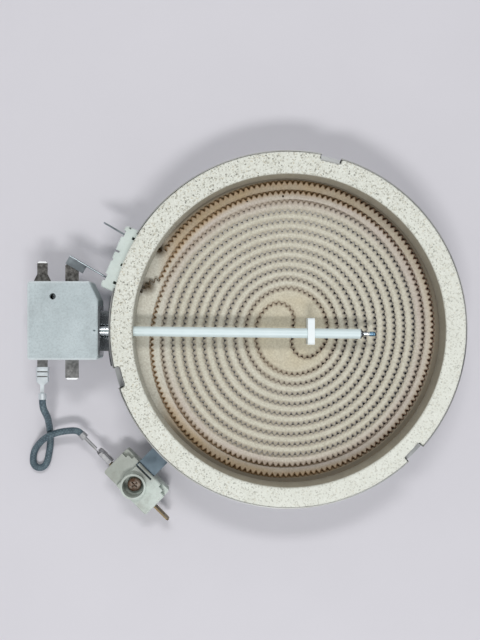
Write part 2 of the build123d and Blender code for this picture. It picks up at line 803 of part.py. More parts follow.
def make_supply():
    """Supply terminal with a free blade for a push-on receptacle, bent a little at the block's face."""
    y = block_side(-1)
    half = blade_sheet / 2
    first = lead_blade(y, supply_inner, block_out)
    corner = post(block_out, y, blade_bottom, blade_top, half)
    blade = box(0, blade_reach, -half, half, blade_bottom, blade_top)
    blade = chamfer(blade.edges().filter_by(Axis.Y).group_by(Axis.X)[-1], blade_width * 0.16)
    blade -= Pos(blade_reach - 4, 0, (blade_bottom + blade_top) / 2) * Rot(90, 0, 0) * Cylinder(0.9, 4)
    bend = Pos(block_out, y, 0) * Rot(0, 0, supply_turn)
    return Rot(0, 0, block_angle) * (first + corner + bend * blade)


def make_link():
    """Link terminal: bent towards the limiter, its flange lying on the power tab."""
    x_bend = block_out + link_reach
    y = block_side(1)
    half = blade_sheet / 2
    first = lead_blade(y, link_inner, x_bend)
    bend = Pos(x_bend, y, 0) * Rot(0, 0, link_turn)
    second = box(0, link_length, -half, half, blade_bottom, blade_top)
    flange = box(flange_start, link_length, -half, flange_width, blade_top - blade_sheet, blade_top)
    folded = second + flange
    folded = fillet(folded.edges().filter_by(Axis.X).group_by(Axis.Z)[-1].sort_by(Axis.Y)[0], flange_bend)
    corner = post(x_bend, y, blade_bottom, blade_top, half)
    return Rot(0, 0, block_angle) * (first + corner + bend * folded)


def make_connector():
    """Ceramic connector block: screw boss, low left wing, stepped inner corners and a slot for the hook."""
    x0 = pan_r + connector_start
    x1 = x0 + connector_depth
    top = connector_bottom + connector_height
    body = box(x0, x1, connector_y0, connector_y1, connector_bottom, top)
    body = fillet(body.edges().filter_by(Axis.Z), 1.2)
    body = chamfer(body.edges().group_by(Axis.Z)[-1], 0.5)
    body -= box(x0 - 1, x1 + 1, connector_y0 - 1, connector_y0 + wing_run, top - wing_drop, top + 1)
    for end, way in ((connector_y0, 1), (connector_y1, -1)):
        for k in (1, 2):
            y0, y1 = sorted((end - way, end + way * step_run * k))
            body -= box(x0 - 1, x0 + step_deep / k, y0, y1, top - step_drop, top + 1)
    body += post(boss_x, boss_offset, connector_bottom, top + boss_proud, boss_diameter / 2)
    body -= post(boss_x, boss_offset, web_top, top + boss_proud + 1, bore_diameter / 2)
    body -= post(boss_x, boss_offset, 0, web_top + 1, connector_screw / 2 + 0.3)
    wide = strip_plate_width / 2 + pocket_gap
    run = strip_plate / 2 + pocket_gap
    near = strip_plate / 2 - strip_lap - pocket_gap
    pocket = box(boss_x - wide, boss_x + wide, -run, run, 0, web_top - web_thickness)
    body -= Pos(0, boss_offset, 0) * pocket
    thick = strip_sheet / 2 + slip_gap
    for x, y0, y1 in (
        (strip_x_left, connector_y0 - 1, boss_offset - near),
        (strip_x_right, boss_offset + near, connector_y1 + 1),
    ):
        body -= box(x - thick, x + thick, y0, y1, 0, strip_top + slip_gap)
    wide = hook_width / 2 + slip_gap
    tail = hook_x + bracket_sheet + slip_gap
    body -= box(x0 - 1, tail, -wide, wide, hook_z - slip_gap, hook_z + bracket_sheet + slip_gap)
    body -= box(hook_x - slip_gap, tail, -wide, wide, hook_z - hook_drop - pocket_gap, top + 1)
    return Rot(0, 0, connector_angle) * body


connector_y0 = connector_shift - connector_length / 2
connector_y1 = connector_shift + connector_length / 2
web_top = connector_bottom + web_bottom + web_thickness
strip_bottom = web_top - web_thickness - strip_sheet
strip_top = strip_bottom + blade_width
boss_x = pan_r + connector_start + connector_depth - boss_in
strip_x_left = boss_x + strip_offset_left
strip_x_right = boss_x + strip_offset_right
hook_x = pan_r + connector_start + hook_lap
hook_z = connector_bottom + connector_height - hook_sunk


def make_hook():
    """Bracket from the pan's wall to the connector block."""
    inner = pan_r + bracket_seat
    half = hook_width / 2
    foot = tube(connector_bottom + hook_foot, hook_z + bracket_sheet, inner, inner + bracket_sheet)
    foot &= box(pan_r / 2, pan_r + connector_start, -half, half, 0, pan_top)
    plate = box(pan_r / 2, hook_x + bracket_sheet, -half, half, hook_z, hook_z + bracket_sheet)
    plate -= post(0, 0, 0, pan_top, inner)
    hook = box(hook_x, hook_x + bracket_sheet, -half, half, hook_z - hook_drop, hook_z + bracket_sheet)
    bracket = Rot(0, 0, connector_angle) * (foot + plate + hook)
    for hole in hook_holes():
        bracket -= hole
    return bracket


def make_strip():
    """Conductor through the connector block, a blade at each end."""
    thick = strip_sheet / 2
    wide = strip_plate_width / 2
    run = strip_plate / 2
    near = run - strip_lap
    plate = box(boss_x - wide, boss_x + wide, -run, run, strip_bottom, strip_bottom + strip_sheet)
    conductor = Pos(0, boss_offset, 0) * plate
    covered = connector_y0 - receptacle_length + taper_run
    reach = connector_y1 + strip_blade_reach
    for x, y0, y1 in (
        (strip_x_left, covered, boss_offset - near),
        (strip_x_right, boss_offset + near, reach),
    ):
        conductor += box(x - thick, x + thick, y0, y1, strip_bottom, strip_top)
    ends = conductor.edges().filter_by(Axis.X).sort_by(Axis.Y)
    conductor = chamfer(ends[:2] + ends[-2:], blade_width * 0.16)
    conductor -= post(boss_x, boss_offset, strip_bottom - 1, strip_top, connector_screw / 2 + run_gap)
    for x, y in ((strip_x_left, covered + 4), (strip_x_right, reach - 4)):
        conductor -= Pos(x, y, (strip_bottom + strip_top) / 2) * Rot(0, 90, 0) * Cylinder(0.9, 4)
    return Rot(0, 0, connector_angle) * conductor


def make_connector_screw():
    """Screw of the connector block with a crossed slot."""
    screw = post(boss_x, boss_offset, connector_bottom + 0.3, web_top, connector_screw / 2)
    head = post(boss_x, boss_offset, web_top, web_top + 2.2, connector_screw_head / 2)
    screw += fillet(head.edges().group_by(Axis.Z)[-1], 0.8)
    for turn in (0, 90):
        screw -= Pos(boss_x, boss_offset, web_top + 1.8) * Rot(0, 0, turn) * Box(3.4, 0.7, 1.4)
    return Rot(0, 0, connector_angle) * screw


def receptacle(width, neck_length):
    """Push-on receptacle along +X, mouth at x=0, ribbed back down, for a tab of the given width."""
    half_in = width / 2 + slip_gap
    half_out = half_in + receptacle_wall + receptacle_side
    slot = tab_sheet / 2 + run_gap
    low = slot + receptacle_wall
    tall = low + curl_height
    body = box(0, receptacle_length, -half_out, half_out, -low, tall)
    body = fillet(body.edges().filter_by(Axis.X), 0.6)
    body -= box(-1, receptacle_length + 1, -half_in, half_in, -slot, slot)
    body -= box(-1, receptacle_length + 1, -half_in * 0.25, half_in * 0.25, 0, tall + 1)
    flat = receptacle_length - taper_run
    for k in (1, 2):
        x = flat * k / 3
        body -= box(x - rib_half, x + rib_half, -half_out - 1, half_out + 1, -low - 1, -low + rib_depth)
    for side in (-1, 1):
        wide = half_out + 1
        end = receptacle_length
        corners = [(flat, half_out), (end, neck_half), (end + 1, wide), (flat, wide)]
        shoulder = make_face(Polyline(*[(x, side * y) for x, y in corners], close=True))
        body -= Pos(0, 0, -low - 1) * extrude(shoulder, low + tall + 2, dir=(0, 0, 1))
    end = receptacle_length + neck_length
    neck = box(receptacle_length - taper_run, end + 0.5, -neck_half, neck_half, -low, -slot)
    wire = Pos((receptacle_length + end) / 2 + 0.6, 0, 0) * Rot(0, 90, 0) * Cylinder(low, neck_length - 1)
    crimp = Rot(0, 90, 0) * Cylinder(lead_diameter / 2 + 0.25, crimp_length)
    crimp = Pos(end + crimp_length / 2, 0, 0) * crimp
    return body + neck + wire + crimp


receptacle_reach = receptacle_length + crimp_length
tab_mid_z = seam_z - tab_sheet / 2
limiter_mouth = (signal_x, head_y0 - 3.6, tab_mid_z)
connector_mouth = local(strip_x_left, connector_y0 - 0.8, connector_angle)
strip_mid_z = (strip_bottom + strip_top) / 2


def make_receptacles():
    """Receptacle on the limiter's signal tab and the one on the connector block's blade."""
    back_up = Rot(0, 0, -90) * Rot(180, 0, 0)
    upper = Pos(*limiter_mouth) * back_up * receptacle(signal_tab_width, short_neck)
    standing = Rot(0, 0, connector_angle - 90) * Rot(90, 0, 0) * receptacle(blade_width, long_neck)
    lower = Pos(connector_mouth[0], connector_mouth[1], strip_mid_z) * standing
    return upper, lower


# Route of the lead between its crimps: down to the surface, one loop, over itself, across to the connector.
lead_route = [
    (-115.8, -36.4, 20.1),
    (-115.0, -38.7, 18.9),
    (-114.7, -41.9, 14.8),
    (-115.0, -45.7, 9.4),
    (-115.5, -49.8, 4.4),
    (-115.8, -53.4, 2.1),
    (-115.9, -56.8, 1.7),
    (-116.3, -60.0, 1.7),
    (-117.0, -63.6, 1.7),
    (-118.2, -67.1, 1.7),
    (-120.5, -68.8, 1.7),
    (-123.0, -68.0, 1.7),
    (-124.3, -65.8, 1.7),
    (-124.5, -63.1, 1.7),
    (-123.9, -60.4, 1.7),
    (-122.1, -57.5, 2.2),
    (-119.3, -54.6, 4.6),
    (-116.6, -52.7, 7.4),
    (-113.4, -51.1, 7.6),
    (-109.6, -50.0, 8.0),
    (-105.9, -49.5, 8.3),
    (-102.6, -49.3, 8.4),
]


def make_lead():
    """Sleeved lead: straight runs joined by tangent arcs."""
    start = (limiter_mouth[0], limiter_mouth[1] - receptacle_reach - short_neck, limiter_mouth[2])
    away = local(0, -1, connector_angle)
    run = receptacle_reach + long_neck
    end = tuple(connector_mouth[i] + away[i] * run for i in range(2)) + (strip_mid_z,)
    stub = tuple(end[i] + away[i] * lead_stub for i in range(2)) + (strip_mid_z,)
    points = [Vector(*p) for p in [start] + lead_route + [stub, end]]
    radii = []
    for a, b, c in zip(points, points[1:], points[2:]):
        turn = (b - a).get_angle(c - b)
        radii.append(0.45 * min((b - a).length, (c - b).length) / tan(radians(turn) / 2))
    path = FilletPolyline(*points, radius=radii)
    section = Plane(origin=path @ 0, z_dir=path % 0) * Circle(lead_diameter / 2)
    return sweep(section, path=path)


def make_all():
    """Every piece under its node's name."""
    pieces = {"pan": make_pan(), "base_insulation": make_base(), "rim_ring": make_ring()}
    pieces["heating_ribbon"] = make_ribbon()
    pieces["rod_support"] = make_support()
    names = ("limiter_tube", "limiter_rod", "rod_end_washer", "rod_end_tip")
    pieces.update(zip(names, make_sensor()))
    pieces.update(zip(("limiter_base", "limiter_cover"), make_head()))
    pieces["limiter_bracket"] = make_bracket()
    pieces["rod_collar"] = make_collar()
    for name, side in (("bracket_rivet_upper", -1), ("bracket_rivet_lower", 1)):
        pieces[name] = Rot(0, 0, 180 + side * foot_angle) * Pos(0, 0, rivet_z) * wall_rivet()
    pieces.update(make_switches())
    pieces["plunger"] = make_plunger()
    pieces["adjusting_screw"] = make_adjuster()
    pieces["terminal_block"] = make_block()
    pieces["supply_blade"] = make_supply()
    pieces["link_strip"] = make_link()
    pieces["connector_block"] = make_connector()
    pieces["connector_bracket"] = make_hook()
    for name, y in (("connector_rivet_left", -hook_width / 4), ("connector_rivet_right", hook_width / 4)):
        pieces[name] = Rot(0, 0, connector_angle) * Pos(0, y, hook_rivet_z) * wall_rivet()
    pieces["connector_strip"] = make_strip()
    pieces["connector_screw"] = make_connector_screw()
    pieces.update(zip(("limiter_receptacle", "connector_receptacle"), make_receptacles()))
    pieces["signal_lead"] = make_lead()
    return pieces


os.makedirs("parts", exist_ok=True)
for node, shape in make_all().items():
    export_step(shape, "parts/" + node + ".step")
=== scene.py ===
import math
import random

import bpy
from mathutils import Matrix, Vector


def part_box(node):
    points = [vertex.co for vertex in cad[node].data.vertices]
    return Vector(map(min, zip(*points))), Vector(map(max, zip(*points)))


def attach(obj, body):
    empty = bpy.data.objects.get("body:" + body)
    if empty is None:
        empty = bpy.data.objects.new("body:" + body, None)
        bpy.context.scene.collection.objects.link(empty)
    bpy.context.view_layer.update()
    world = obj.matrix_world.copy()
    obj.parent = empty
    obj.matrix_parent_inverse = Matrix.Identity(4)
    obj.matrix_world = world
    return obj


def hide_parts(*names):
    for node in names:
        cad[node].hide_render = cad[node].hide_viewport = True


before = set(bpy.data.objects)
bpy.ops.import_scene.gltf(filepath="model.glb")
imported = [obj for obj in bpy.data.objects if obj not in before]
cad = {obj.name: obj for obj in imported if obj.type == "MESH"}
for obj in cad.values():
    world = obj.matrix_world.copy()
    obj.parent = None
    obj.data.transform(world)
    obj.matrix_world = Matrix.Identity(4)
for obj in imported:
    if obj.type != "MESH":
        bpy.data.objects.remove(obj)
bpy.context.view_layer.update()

# Lengths are in millimetres and become metres by this factor.
MM = 0.001

# Vertices of a CAD node's loose triangles that lie this close are merged in a copy of it.
MERGE_WITHIN = 0.002

# Camera straight above the heater, +Y upwards in the picture.
CAMERA_PLACE = (-22.3, 4.4, 451.0)
CAMERA_LENS = 51.2
CAMERA_SENSOR = 36.0

# Two soft lamps over the camera's middle line, leaning towards the bottom and the top of the picture.
LAMP_HEIGHT = 900.0
LAMP_LEAN = 0.6
LAMP_SIZE = (420.0, 150.0)
LAMP_POWERS = {"lamp_low": 4.4, "lamp_high": 3.3}
FLOOR_SIZE = 3000.0

# Room light: how steeply up it is dimmest and brightest, as the height of a unit direction, and its levels.
ROOM_HEIGHTS = (0.95, 0.3)
ROOM_LEVELS = (0.17, 0.83)

# Angles between faces, in degrees, up to which a piece is shaded smooth.
RIBBON_SMOOTH = 50
RING_SMOOTH = 60
RECEPTACLE_SMOOTH = 10

# Route of the lead from the limiter's receptacle to the connector's.
LEAD_ROUTE = [
    (-115.8, -33.2, 20.1),
    (-115.8, -36.4, 20.1),
    (-114.9, -39.4, 18.9),
    (-114.4, -42.0, 15.4),
    (-115.0, -45.7, 9.4),
    (-115.5, -49.8, 4.4),
    (-115.8, -53.4, 2.1),
    (-115.9, -56.8, 1.7),
    (-116.3, -60.0, 1.7),
    (-117.0, -64.0, 1.7),
    (-118.0, -66.9, 1.7),
    (-119.9, -68.5, 1.7),
    (-122.4, -68.5, 1.7),
    (-124.2, -66.8, 1.7),
    (-124.5, -63.9, 1.7),
    (-123.9, -60.4, 1.7),
    (-122.1, -57.5, 2.2),
    (-119.3, -54.6, 4.6),
    (-116.6, -52.7, 7.4),
    (-113.4, -51.1, 7.6),
    (-109.6, -50.0, 8.0),
    (-105.9, -49.5, 8.3),
    (-102.6, -49.3, 8.4),
    (-100.52, -49.89, 8.35),
    (-99.45, -50.95, 8.35),
]
LEAD_DIAMETER = 3.3

# Half waves of the sleeve's threads along the lead and round it.
BRAID_ALONG = 110
BRAID_ROUND = 10

# Winding: a double spiral with an S in the middle. The first line's reach from the winding's centre and the
# spacing of the lines are given at each eighth of a turn, from the right and counter-clockwise.
WINDING_X = 2.0
WINDING_Y = -1.7
LINE_REACH = (17.7, 19.25, 21.5, 21.8, 21.7, 23.3, 24.75, 25.9)
LINE_SPACING = (4.58, 4.645, 4.6, 4.575, 4.97, 5.13, 4.83, 4.58)
LAST_LINE = 11
S_LOWER = ((18.1, -7.3), (14.0, -11.9), (8.2, -13.4), (2.5, -6.0))
S_UPPER = ((3.5, 5.0), (-0.6, 11.8), (-7.6, 11.5), (-12.6, 6.6))

# Height of the base's top, and the winding's centre there in metres.
BASE_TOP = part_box("base_insulation")[1].z / MM
WINDING_CENTRE = tuple(c * MM for c in (WINDING_X, WINDING_Y, BASE_TOP))

# Ends of the ribbon at the terminal block: the block's angle, how far to the side of it each arm stops, and
# the free tail that crosses the base to the link strip.
BLOCK_ANGLE = 156.82
TAIL_SIDE = 2.0
LEAD_SIDE = -11.7
TAIL_ROUTE = [(-60.6, 23.8), (-62.4, 23.6), (-65.0, 22.6), (-67.0, 20.8), (-68.6, 19.4), (-70.0, 18.9)]
TAIL_LEVELS = (13.4, 15.9)

# Corrugation of the ribbon.
WAVE_LENGTH = 2.67
WAVE_SWING = 0.85
WAVE_STEPS = 8
RIBBON_SHEET = 0.3

# Insulation pressed into the groove on both sides of the ribbon: a thin layer just below the base's top, with
# uneven gaps along the ribbon's inner face.
GROOVE_HALF = 1.3
FILL_LAP = 0.01
FILL_BELOW = 0.06
FILL_LAYER = 0.5
FACE_GAP = 0.12
FILL_SEED = 5

# Pocket in that layer outside every wave: the shares of the wave where it begins and is full, its depth and
# width, and the share of the width that its floor takes.
POCKET_FROM = 0.4
POCKET_FULL = 0.8
POCKET_DEPTH = 2.4
POCKET_WIDTH = 0.5
POCKET_WIDENS = 0.7
POCKET_LEAST = 0.05
POCKET_FLOOR = 0.75

# How clear the pockets are: least at the top and the bottom, most at the right, some degrees below the
# middle line, and uneven from point to point.
CLEAR_LEAST = 0.16
CLEAR_RIGHT = 0.9
CLEAR_LEFT = 0.3
CLEAR_TURN = 12
CLEAR_LOW = 0.7
CLEAR_SPREAD = 0.6

# Slope where the layer has fallen away along the outermost turns: the reaches from the pan's axis where it
# begins and is full, its depth beside the ribbon, the shares of that depth further out, and the shares of the
# slope that are still closed at the right and at the left.
OPEN_FROM = 58.5
OPEN_FULL = 64.0
OPEN_DEPTH = 1.9
OPEN_MIDDLE = 0.8
OPEN_EDGE = 0.3
CLOSED_RIGHT = 0.75
CLOSED_LEFT = 0.6

# Heat stain with painted shade of the rounded ridges along the ribbon's lines: how far from a line it is full
# and where it ends on the base, its share on the pressed layer, row by row, and where the second arm begins,
# in turns.
HALO_FULL = 0.9
HALO_END = 1.9
INNER_STAIN_AND_SHADE = (0.5, 1.0)
OUTER_STAIN_AND_SHADE = (1.0, 1.0, 0.9, 0.5)
ARM_FROM = 0.40
ARM_FULL = 0.44

# Bands of heat stain round the winding's centre, and the hottest turns: the distances where each begins and
# is full.
MAUVE_BAND = (58.0, 62.0)
TAN_BAND = (65.0, 67.5)
INNER_BAND = (24.0, 16.0)
HOT_FROM = 60.0
HOT_FULL = 66.0
INMOST_FROM = 30.0
INMOST_FULL = 18.0

# Where the finishes change across the base: the pale margin on the left, the darker right, the paler top,
# painted light on the ribbon, and the stain's growth along a diagonal.
MARGIN_FULL = -62.0
MARGIN_FROM = -52.0
RIGHT_FROM = 10.0
RIGHT_FULL = 50.0
TOP_FROM = 15.0
TOP_FULL = 50.0
STAIN_SPAN = 55.0
DIAGONAL = math.sqrt(0.5)

# Darker grey-brown band at the ring's foot, by distance from the pan's axis, scorched places at the ribbon's
# ends, and soot with painted shade in the pockets, by depth below the base's top.
FOOT_FROM = 70.2
FOOT_FULL = 71.6
SCORCHED = [(-66.6, 20.7), (-61.2, 38.6)]
SCORCH_END = 5.0
SCORCH_FULL = 1.0
SOOT_SHADE_FROM = 0.2
SOOT_SHADE_FULL = 1.0

# Grooves across the limiter's receptacle.
ROLLED_AT = (-20.07, -22.33)
ROLLED_WIDTH = 0.6
ROLLED_DEPTH = 0.7
ROLLED_TOP = 20.85

# Darkening on the connector: along its length, by the place along a diagonal, and in patches beside the hook.
END_DARK_FROM = 4.0
END_DARK_FULL = -8.0
HOOK_DARK_SPOT = (-67.4, -68.4, 15.0)
HOOK_DARK_END = 7.0
HOOK_DARK_FULL = 3.0

# Width of the painted highlights along the edges of the limiter's head.
EDGE_HIGHLIGHT_WIDTH = 1.1

# Limiter's tabs: the middle line between the upper and the lower ones, how far from it the painted highlights
# on their tips begin and are full, and where the paler lower ones begin.
TAB_MIDDLE = 4.15
TAB_HIGHLIGHT_FROM = 27.1
TAB_HIGHLIGHT_FULL = 27.3
TAB_LOWER = 2.0

# Rim ring: how far its opening is off the pan's axis, and its grain.
BORE_SHIFT = (0.45, -0.5)
BORE_WITHIN = 75.0
RING_VOXEL = 0.6
RING_GRIT = 1.3
RING_ROUGH = 0.12

# Ring's finish: dust over the flecks, by the place along a diagonal, the inner wall's browning with painted
# shade, by its distance from the pan's axis and its depth below the ring's top, and the wall's browning from
# the left.
DUST_FULL = -70.0
DUST_FROM = 60.0
WALL_FROM = 74.4
WALL_FULL = 73.8
WALL_DEPTH_FROM = 0.3
WALL_DEPTH_FULL = 1.6
AGED_FROM = -70.0
AGED_FULL = -40.0

# Heights of the heat bloom on the pan's wall, and the soft edge of the scorched ends of the terminals.
BLOOM_FROM = 17.0
BLOOM_FULL = 28.0
BURNT_EDGE = 1.0

# Setting of a Mix node that mixes colours.
COLOURS = {"data_type": "RGBA"}


def linear(code):
    """Linear colour of an sRGB hex value."""
    channels = [int(code[k:k + 2], 16) / 255 for k in (1, 3, 5)]
    return tuple(c / 12.92 if c <= 0.04045 else ((c + 0.055) / 1.055) ** 2.4 for c in channels) + (1.0,)


def per(size):
    """Pattern scale that gives a feature of this size in millimetres."""
    return 1 / (size * MM)


def wire(tree, node, inputs):
    """Sets a node's inputs to values, or links them to other nodes' outputs."""
    for key, value in inputs.items():
        if isinstance(value, bpy.types.NodeSocket):
            tree.links.new(value, node.inputs[key])
        else:
            node.inputs[key].default_value = value


def add(tree, kind, inputs=None, **settings):
    """Adds a shader node with its settings and links."""
    node = tree.nodes.new("ShaderNode" + kind)
    for key, value in settings.items():
        setattr(node, key, value)
    wire(tree, node, inputs or {})
    return node


def start(name):
    """New material: itself, its node tree, its shader and the object coordinates for its patterns."""
    made = bpy.data.materials.new(name)
    made.use_nodes = True
    tree = made.node_tree
    place = add(tree, "TexCoord").outputs["Object"]
    return made, tree, tree.nodes["Principled BSDF"], place


def reach(tree, place):
    """Distance from the pan's axis."""
    spot = add(tree, "SeparateXYZ", {0: place}).outputs
    flat = add(tree, "CombineXYZ", {0: spot[0], 1: spot[1]}).outputs[0]
    return add(tree, "VectorMath", {0: flat}, operation="LENGTH").outputs["Value"]


def deselect():
    """Leaves nothing selected."""
    if bpy.context.object and bpy.context.object.mode != "OBJECT":
        bpy.ops.object.mode_set(mode="OBJECT")
    bpy.ops.object.select_all(action="DESELECT")


def activate(piece):
    """Makes a piece the only selected and the active object."""
    deselect()
    piece.select_set(True)
    bpy.context.view_layer.objects.active = piece


def apply(piece, kind, **settings):
    """Adds a modifier with its settings and applies it."""
    activate(piece)
    modifier = piece.modifiers.new(kind.title(), kind)
    for key, value in settings.items():
        setattr(modifier, key, value)
    bpy.ops.object.modifier_apply(modifier=modifier.name)


def smooth(piece, degrees):
    """Smooth shading up to an angle between faces."""
    activate(piece)
    bpy.ops.object.shade_smooth_by_angle(angle=math.radians(degrees))


def copy_of(node, name):
    """Merged copy of a CAD node's mesh as a new piece that stands for it."""
    piece = bpy.data.objects.new(name, cad[node].data.copy())
    bpy.context.scene.collection.objects.link(piece)
    piece.data.materials.clear()
    activate(piece)
    bpy.ops.object.mode_set(mode="EDIT")
    bpy.ops.mesh.select_all(action="SELECT")
    bpy.ops.mesh.remove_doubles(threshold=MERGE_WITHIN * MM)
    bpy.ops.object.mode_set(mode="OBJECT")
    return piece


def settle(piece, slot, material, *nodes):
    """Gives a piece its material, the heater to ride on and the CAD nodes that it stands for. The slot is not
    used.
    """
    piece.data.materials.clear()
    piece.data.materials.append(material)
    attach(piece, "heater")
    if nodes:
        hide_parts(*nodes)


# Camera.
camera_data = bpy.data.cameras.new("camera")
camera_data.lens = CAMERA_LENS
camera_data.sensor_width = CAMERA_SENSOR
camera = bpy.data.objects.new("camera", camera_data)
camera.location = [c * MM for c in CAMERA_PLACE]
bpy.context.scene.collection.objects.link(camera)
bpy.context.scene.camera = camera


def make_lead():
    """Sleeved lead: one smooth line through the route's points."""
    line = bpy.data.curves.new("signal_lead_sleeve", "CURVE")
    line.dimensions = "3D"
    spline = line.splines.new("NURBS")
    spline.points.add(len(LEAD_ROUTE) - 1)
    for point, place in zip(spline.points, LEAD_ROUTE):
        point.co = [c * MM for c in place] + [1.0]
    spline.order_u = 3
    spline.use_endpoint_u = True
    spline.resolution_u = 12
    line.bevel_depth = LEAD_DIAMETER / 2 * MM
    line.bevel_resolution = 6
    line.use_fill_caps = True
    lead = bpy.data.objects.new("signal_lead_sleeve", line)
    bpy.context.scene.collection.objects.link(lead)
    return lead


def line_point(eighth, line):
    """Point of a line of the winding, some eighths of a turn on from its crossing on the right."""
    turn, place = divmod(eighth, 8)
    away = LINE_REACH[place] + LINE_SPACING[place] * (line + 2 * turn)
    angle = math.radians(45 * place)
    return (WINDING_X + away * math.cos(angle), WINDING_Y + away * math.sin(angle))


def arc_through(a, b, c):
    """Arc from a through b to c: centre, radius, first and last angle."""
    bend = 2 * ((b[0] - a[0]) * (c[1] - a[1]) - (c[0] - a[0]) * (b[1] - a[1]))
    far = [x * x + y * y for x, y in (a, b, c)]
    x = (far[0] * (b[1] - c[1]) + far[1] * (c[1] - a[1]) + far[2] * (a[1] - b[1])) / bend
    y = (far[0] * (c[0] - b[0]) + far[1] * (a[0] - c[0]) + far[2] * (b[0] - a[0])) / bend
    first = math.degrees(math.atan2(a[1] - y, a[0] - x))
    last = math.degrees(math.atan2(c[1] - y, c[0] - x))
    swing = (last - first) % 360 if bend > 0 else -((first - last) % 360)
    return (x, y, math.hypot(a[0] - x, a[1] - y), first, first + swing)


def lead_arc(line):
    """End of an arm, from the top of its last line to the terminal block."""
    radius = LINE_REACH[2] + LINE_SPACING[2] * line
    turn = math.radians(BLOCK_ANGLE)
    side = TAIL_SIDE if line == LAST_LINE - 1 else LEAD_SIDE
    side += WINDING_X * math.sin(turn) - WINDING_Y * math.cos(turn)
    return (WINDING_X, WINDING_Y, radius, 90.0, BLOCK_ANGLE + math.degrees(math.asin(side / radius)))


def arm(line):
    """Arcs of one arm outwards, from the S to its lead."""
    first = line % 2
    quarters = range(-4 * first, 4 * (line - first) + 2, 2)
    arcs = [arc_through(*[line_point(n + k, first) for k in range(3)]) for n in quarters]
    return arcs + [lead_arc(line)]


def s_halves():
    """Two halves of the S in the middle, each up to the middle of its straight run."""
    low, high = S_LOWER[3], S_UPPER[0]
    middle = ((low[0] + high[0]) / 2, (low[1] + high[1]) / 2)
    inwards = [
        arc_through(line_point(0, 0), S_LOWER[0], S_LOWER[1]),
        arc_through(S_LOWER[1], S_LOWER[2], low),
        (low, middle),
    ]
    outwards = [
        (middle, high),
        arc_through(high, S_UPPER[1], S_UPPER[2]),
        arc_through(S_UPPER[2], S_UPPER[3], line_point(-4, 1)),
    ]
    return inwards, outwards


def along(steps, spacing):
    """Evenly spaced places on a run of arcs and lines: x, y and the direction to its left."""
    places = []
    rest = 0.0
    for step in steps:
        if len(step) == 2:
            (x0, y0), (x1, y1) = step
            length = math.hypot(x1 - x0, y1 - y0)
        else:
            x, y, radius, first, last = step
            length = radius * math.radians(abs(last - first))
        at = rest
        while at < length:
            share = at / length
            if len(step) == 2:
                side = (-(y1 - y0) / length, (x1 - x0) / length)
                places.append((x0 + (x1 - x0) * share, y0 + (y1 - y0) * share, side))
            else:
                angle = math.radians(first + (last - first) * share)
                sign = 1 if last < first else -1
                spot = (x + radius * math.cos(angle), y + radius * math.sin(angle))
                places.append(spot + ((sign * math.cos(angle), sign * math.sin(angle)),))
            at += spacing
        rest = at - length
    return places


def moved(place, shift, height):
    """Point at a height beside a place, moved to its left."""
    x, y, side = place
    return (x + side[0] * shift, y + side[1] * shift, height)


def drawn_line(name, points):
    """Mesh of edges through points."""
    line = bpy.data.curves.new(name, "CURVE")
    line.dimensions = "3D"
    spline = line.splines.new("POLY")
    spline.points.add(len(points) - 1)
    for point, place in zip(spline.points, points):
        point.co = [c * MM for c in place] + [1.0]
    piece = bpy.data.objects.new(name, line)
    bpy.context.scene.collection.objects.link(piece)
    activate(piece)
    bpy.ops.object.convert(target="MESH")
    return bpy.context.object


def join(pieces, name):
    """One piece out of several."""
    activate(pieces[0])
    for piece in pieces[1:]:
        piece.select_set(True)
    bpy.ops.object.join()
    pieces[0].name = name
    return pieces[0]


def wave(number):
    """Sideways place of the corrugation at a point's number along the winding."""
    return WAVE_SWING * math.sin(2 * math.pi * number / WAVE_STEPS)


def winding_halves():
    """Places along both halves of the winding, from the first lead to the middle and on to the second."""
    inwards, outwards = s_halves()
    back = [arc[:3] + (arc[4], arc[3]) for arc in reversed(arm(LAST_LINE - 1))]
    spacing = WAVE_LENGTH / WAVE_STEPS
    return along(back + inwards, spacing), along(outwards + arm(LAST_LINE), spacing)


def corrugated(name, places, begin, low, high):
    """Corrugated ribbon on edge: its line drawn once, raised to its height and given its sheet."""
    points = [moved(place, wave(begin + n), low) for n, place in enumerate(places)]
    ribbon = drawn_line(name, points)
    bpy.ops.object.mode_set(mode="EDIT")
    bpy.ops.mesh.select_all(action="SELECT")
    bpy.ops.mesh.extrude_edges_move(TRANSFORM_OT_translate={"value": (0, 0, (high - low) * MM)})
    bpy.ops.object.mode_set(mode="OBJECT")
    apply(ribbon, "SOLIDIFY", thickness=RIBBON_SHEET * MM, offset=0.0)
    smooth(ribbon, RIBBON_SMOOTH)
    return ribbon


def make_ribbon():
    """Ribbon in its winding."""
    low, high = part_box("heating_ribbon")
    first, second = winding_halves()
    return corrugated("ribbon_corrugated", first + second, 0, low.z / MM, high.z / MM)


def make_tail():
    """Free end of the ribbon from the winding to the link strip."""
    runs = list(zip(TAIL_ROUTE, TAIL_ROUTE[1:]))
    return corrugated("ribbon_tail", along(runs, WAVE_LENGTH / WAVE_STEPS), 0, *TAIL_LEVELS)


def ramp(value, low, high):
    """Soft step from 0 at the low value to 1 at the high one."""
    share = min(max((value - low) / (high - low), 0.0), 1.0)
    return share * share * (3 - 2 * share)


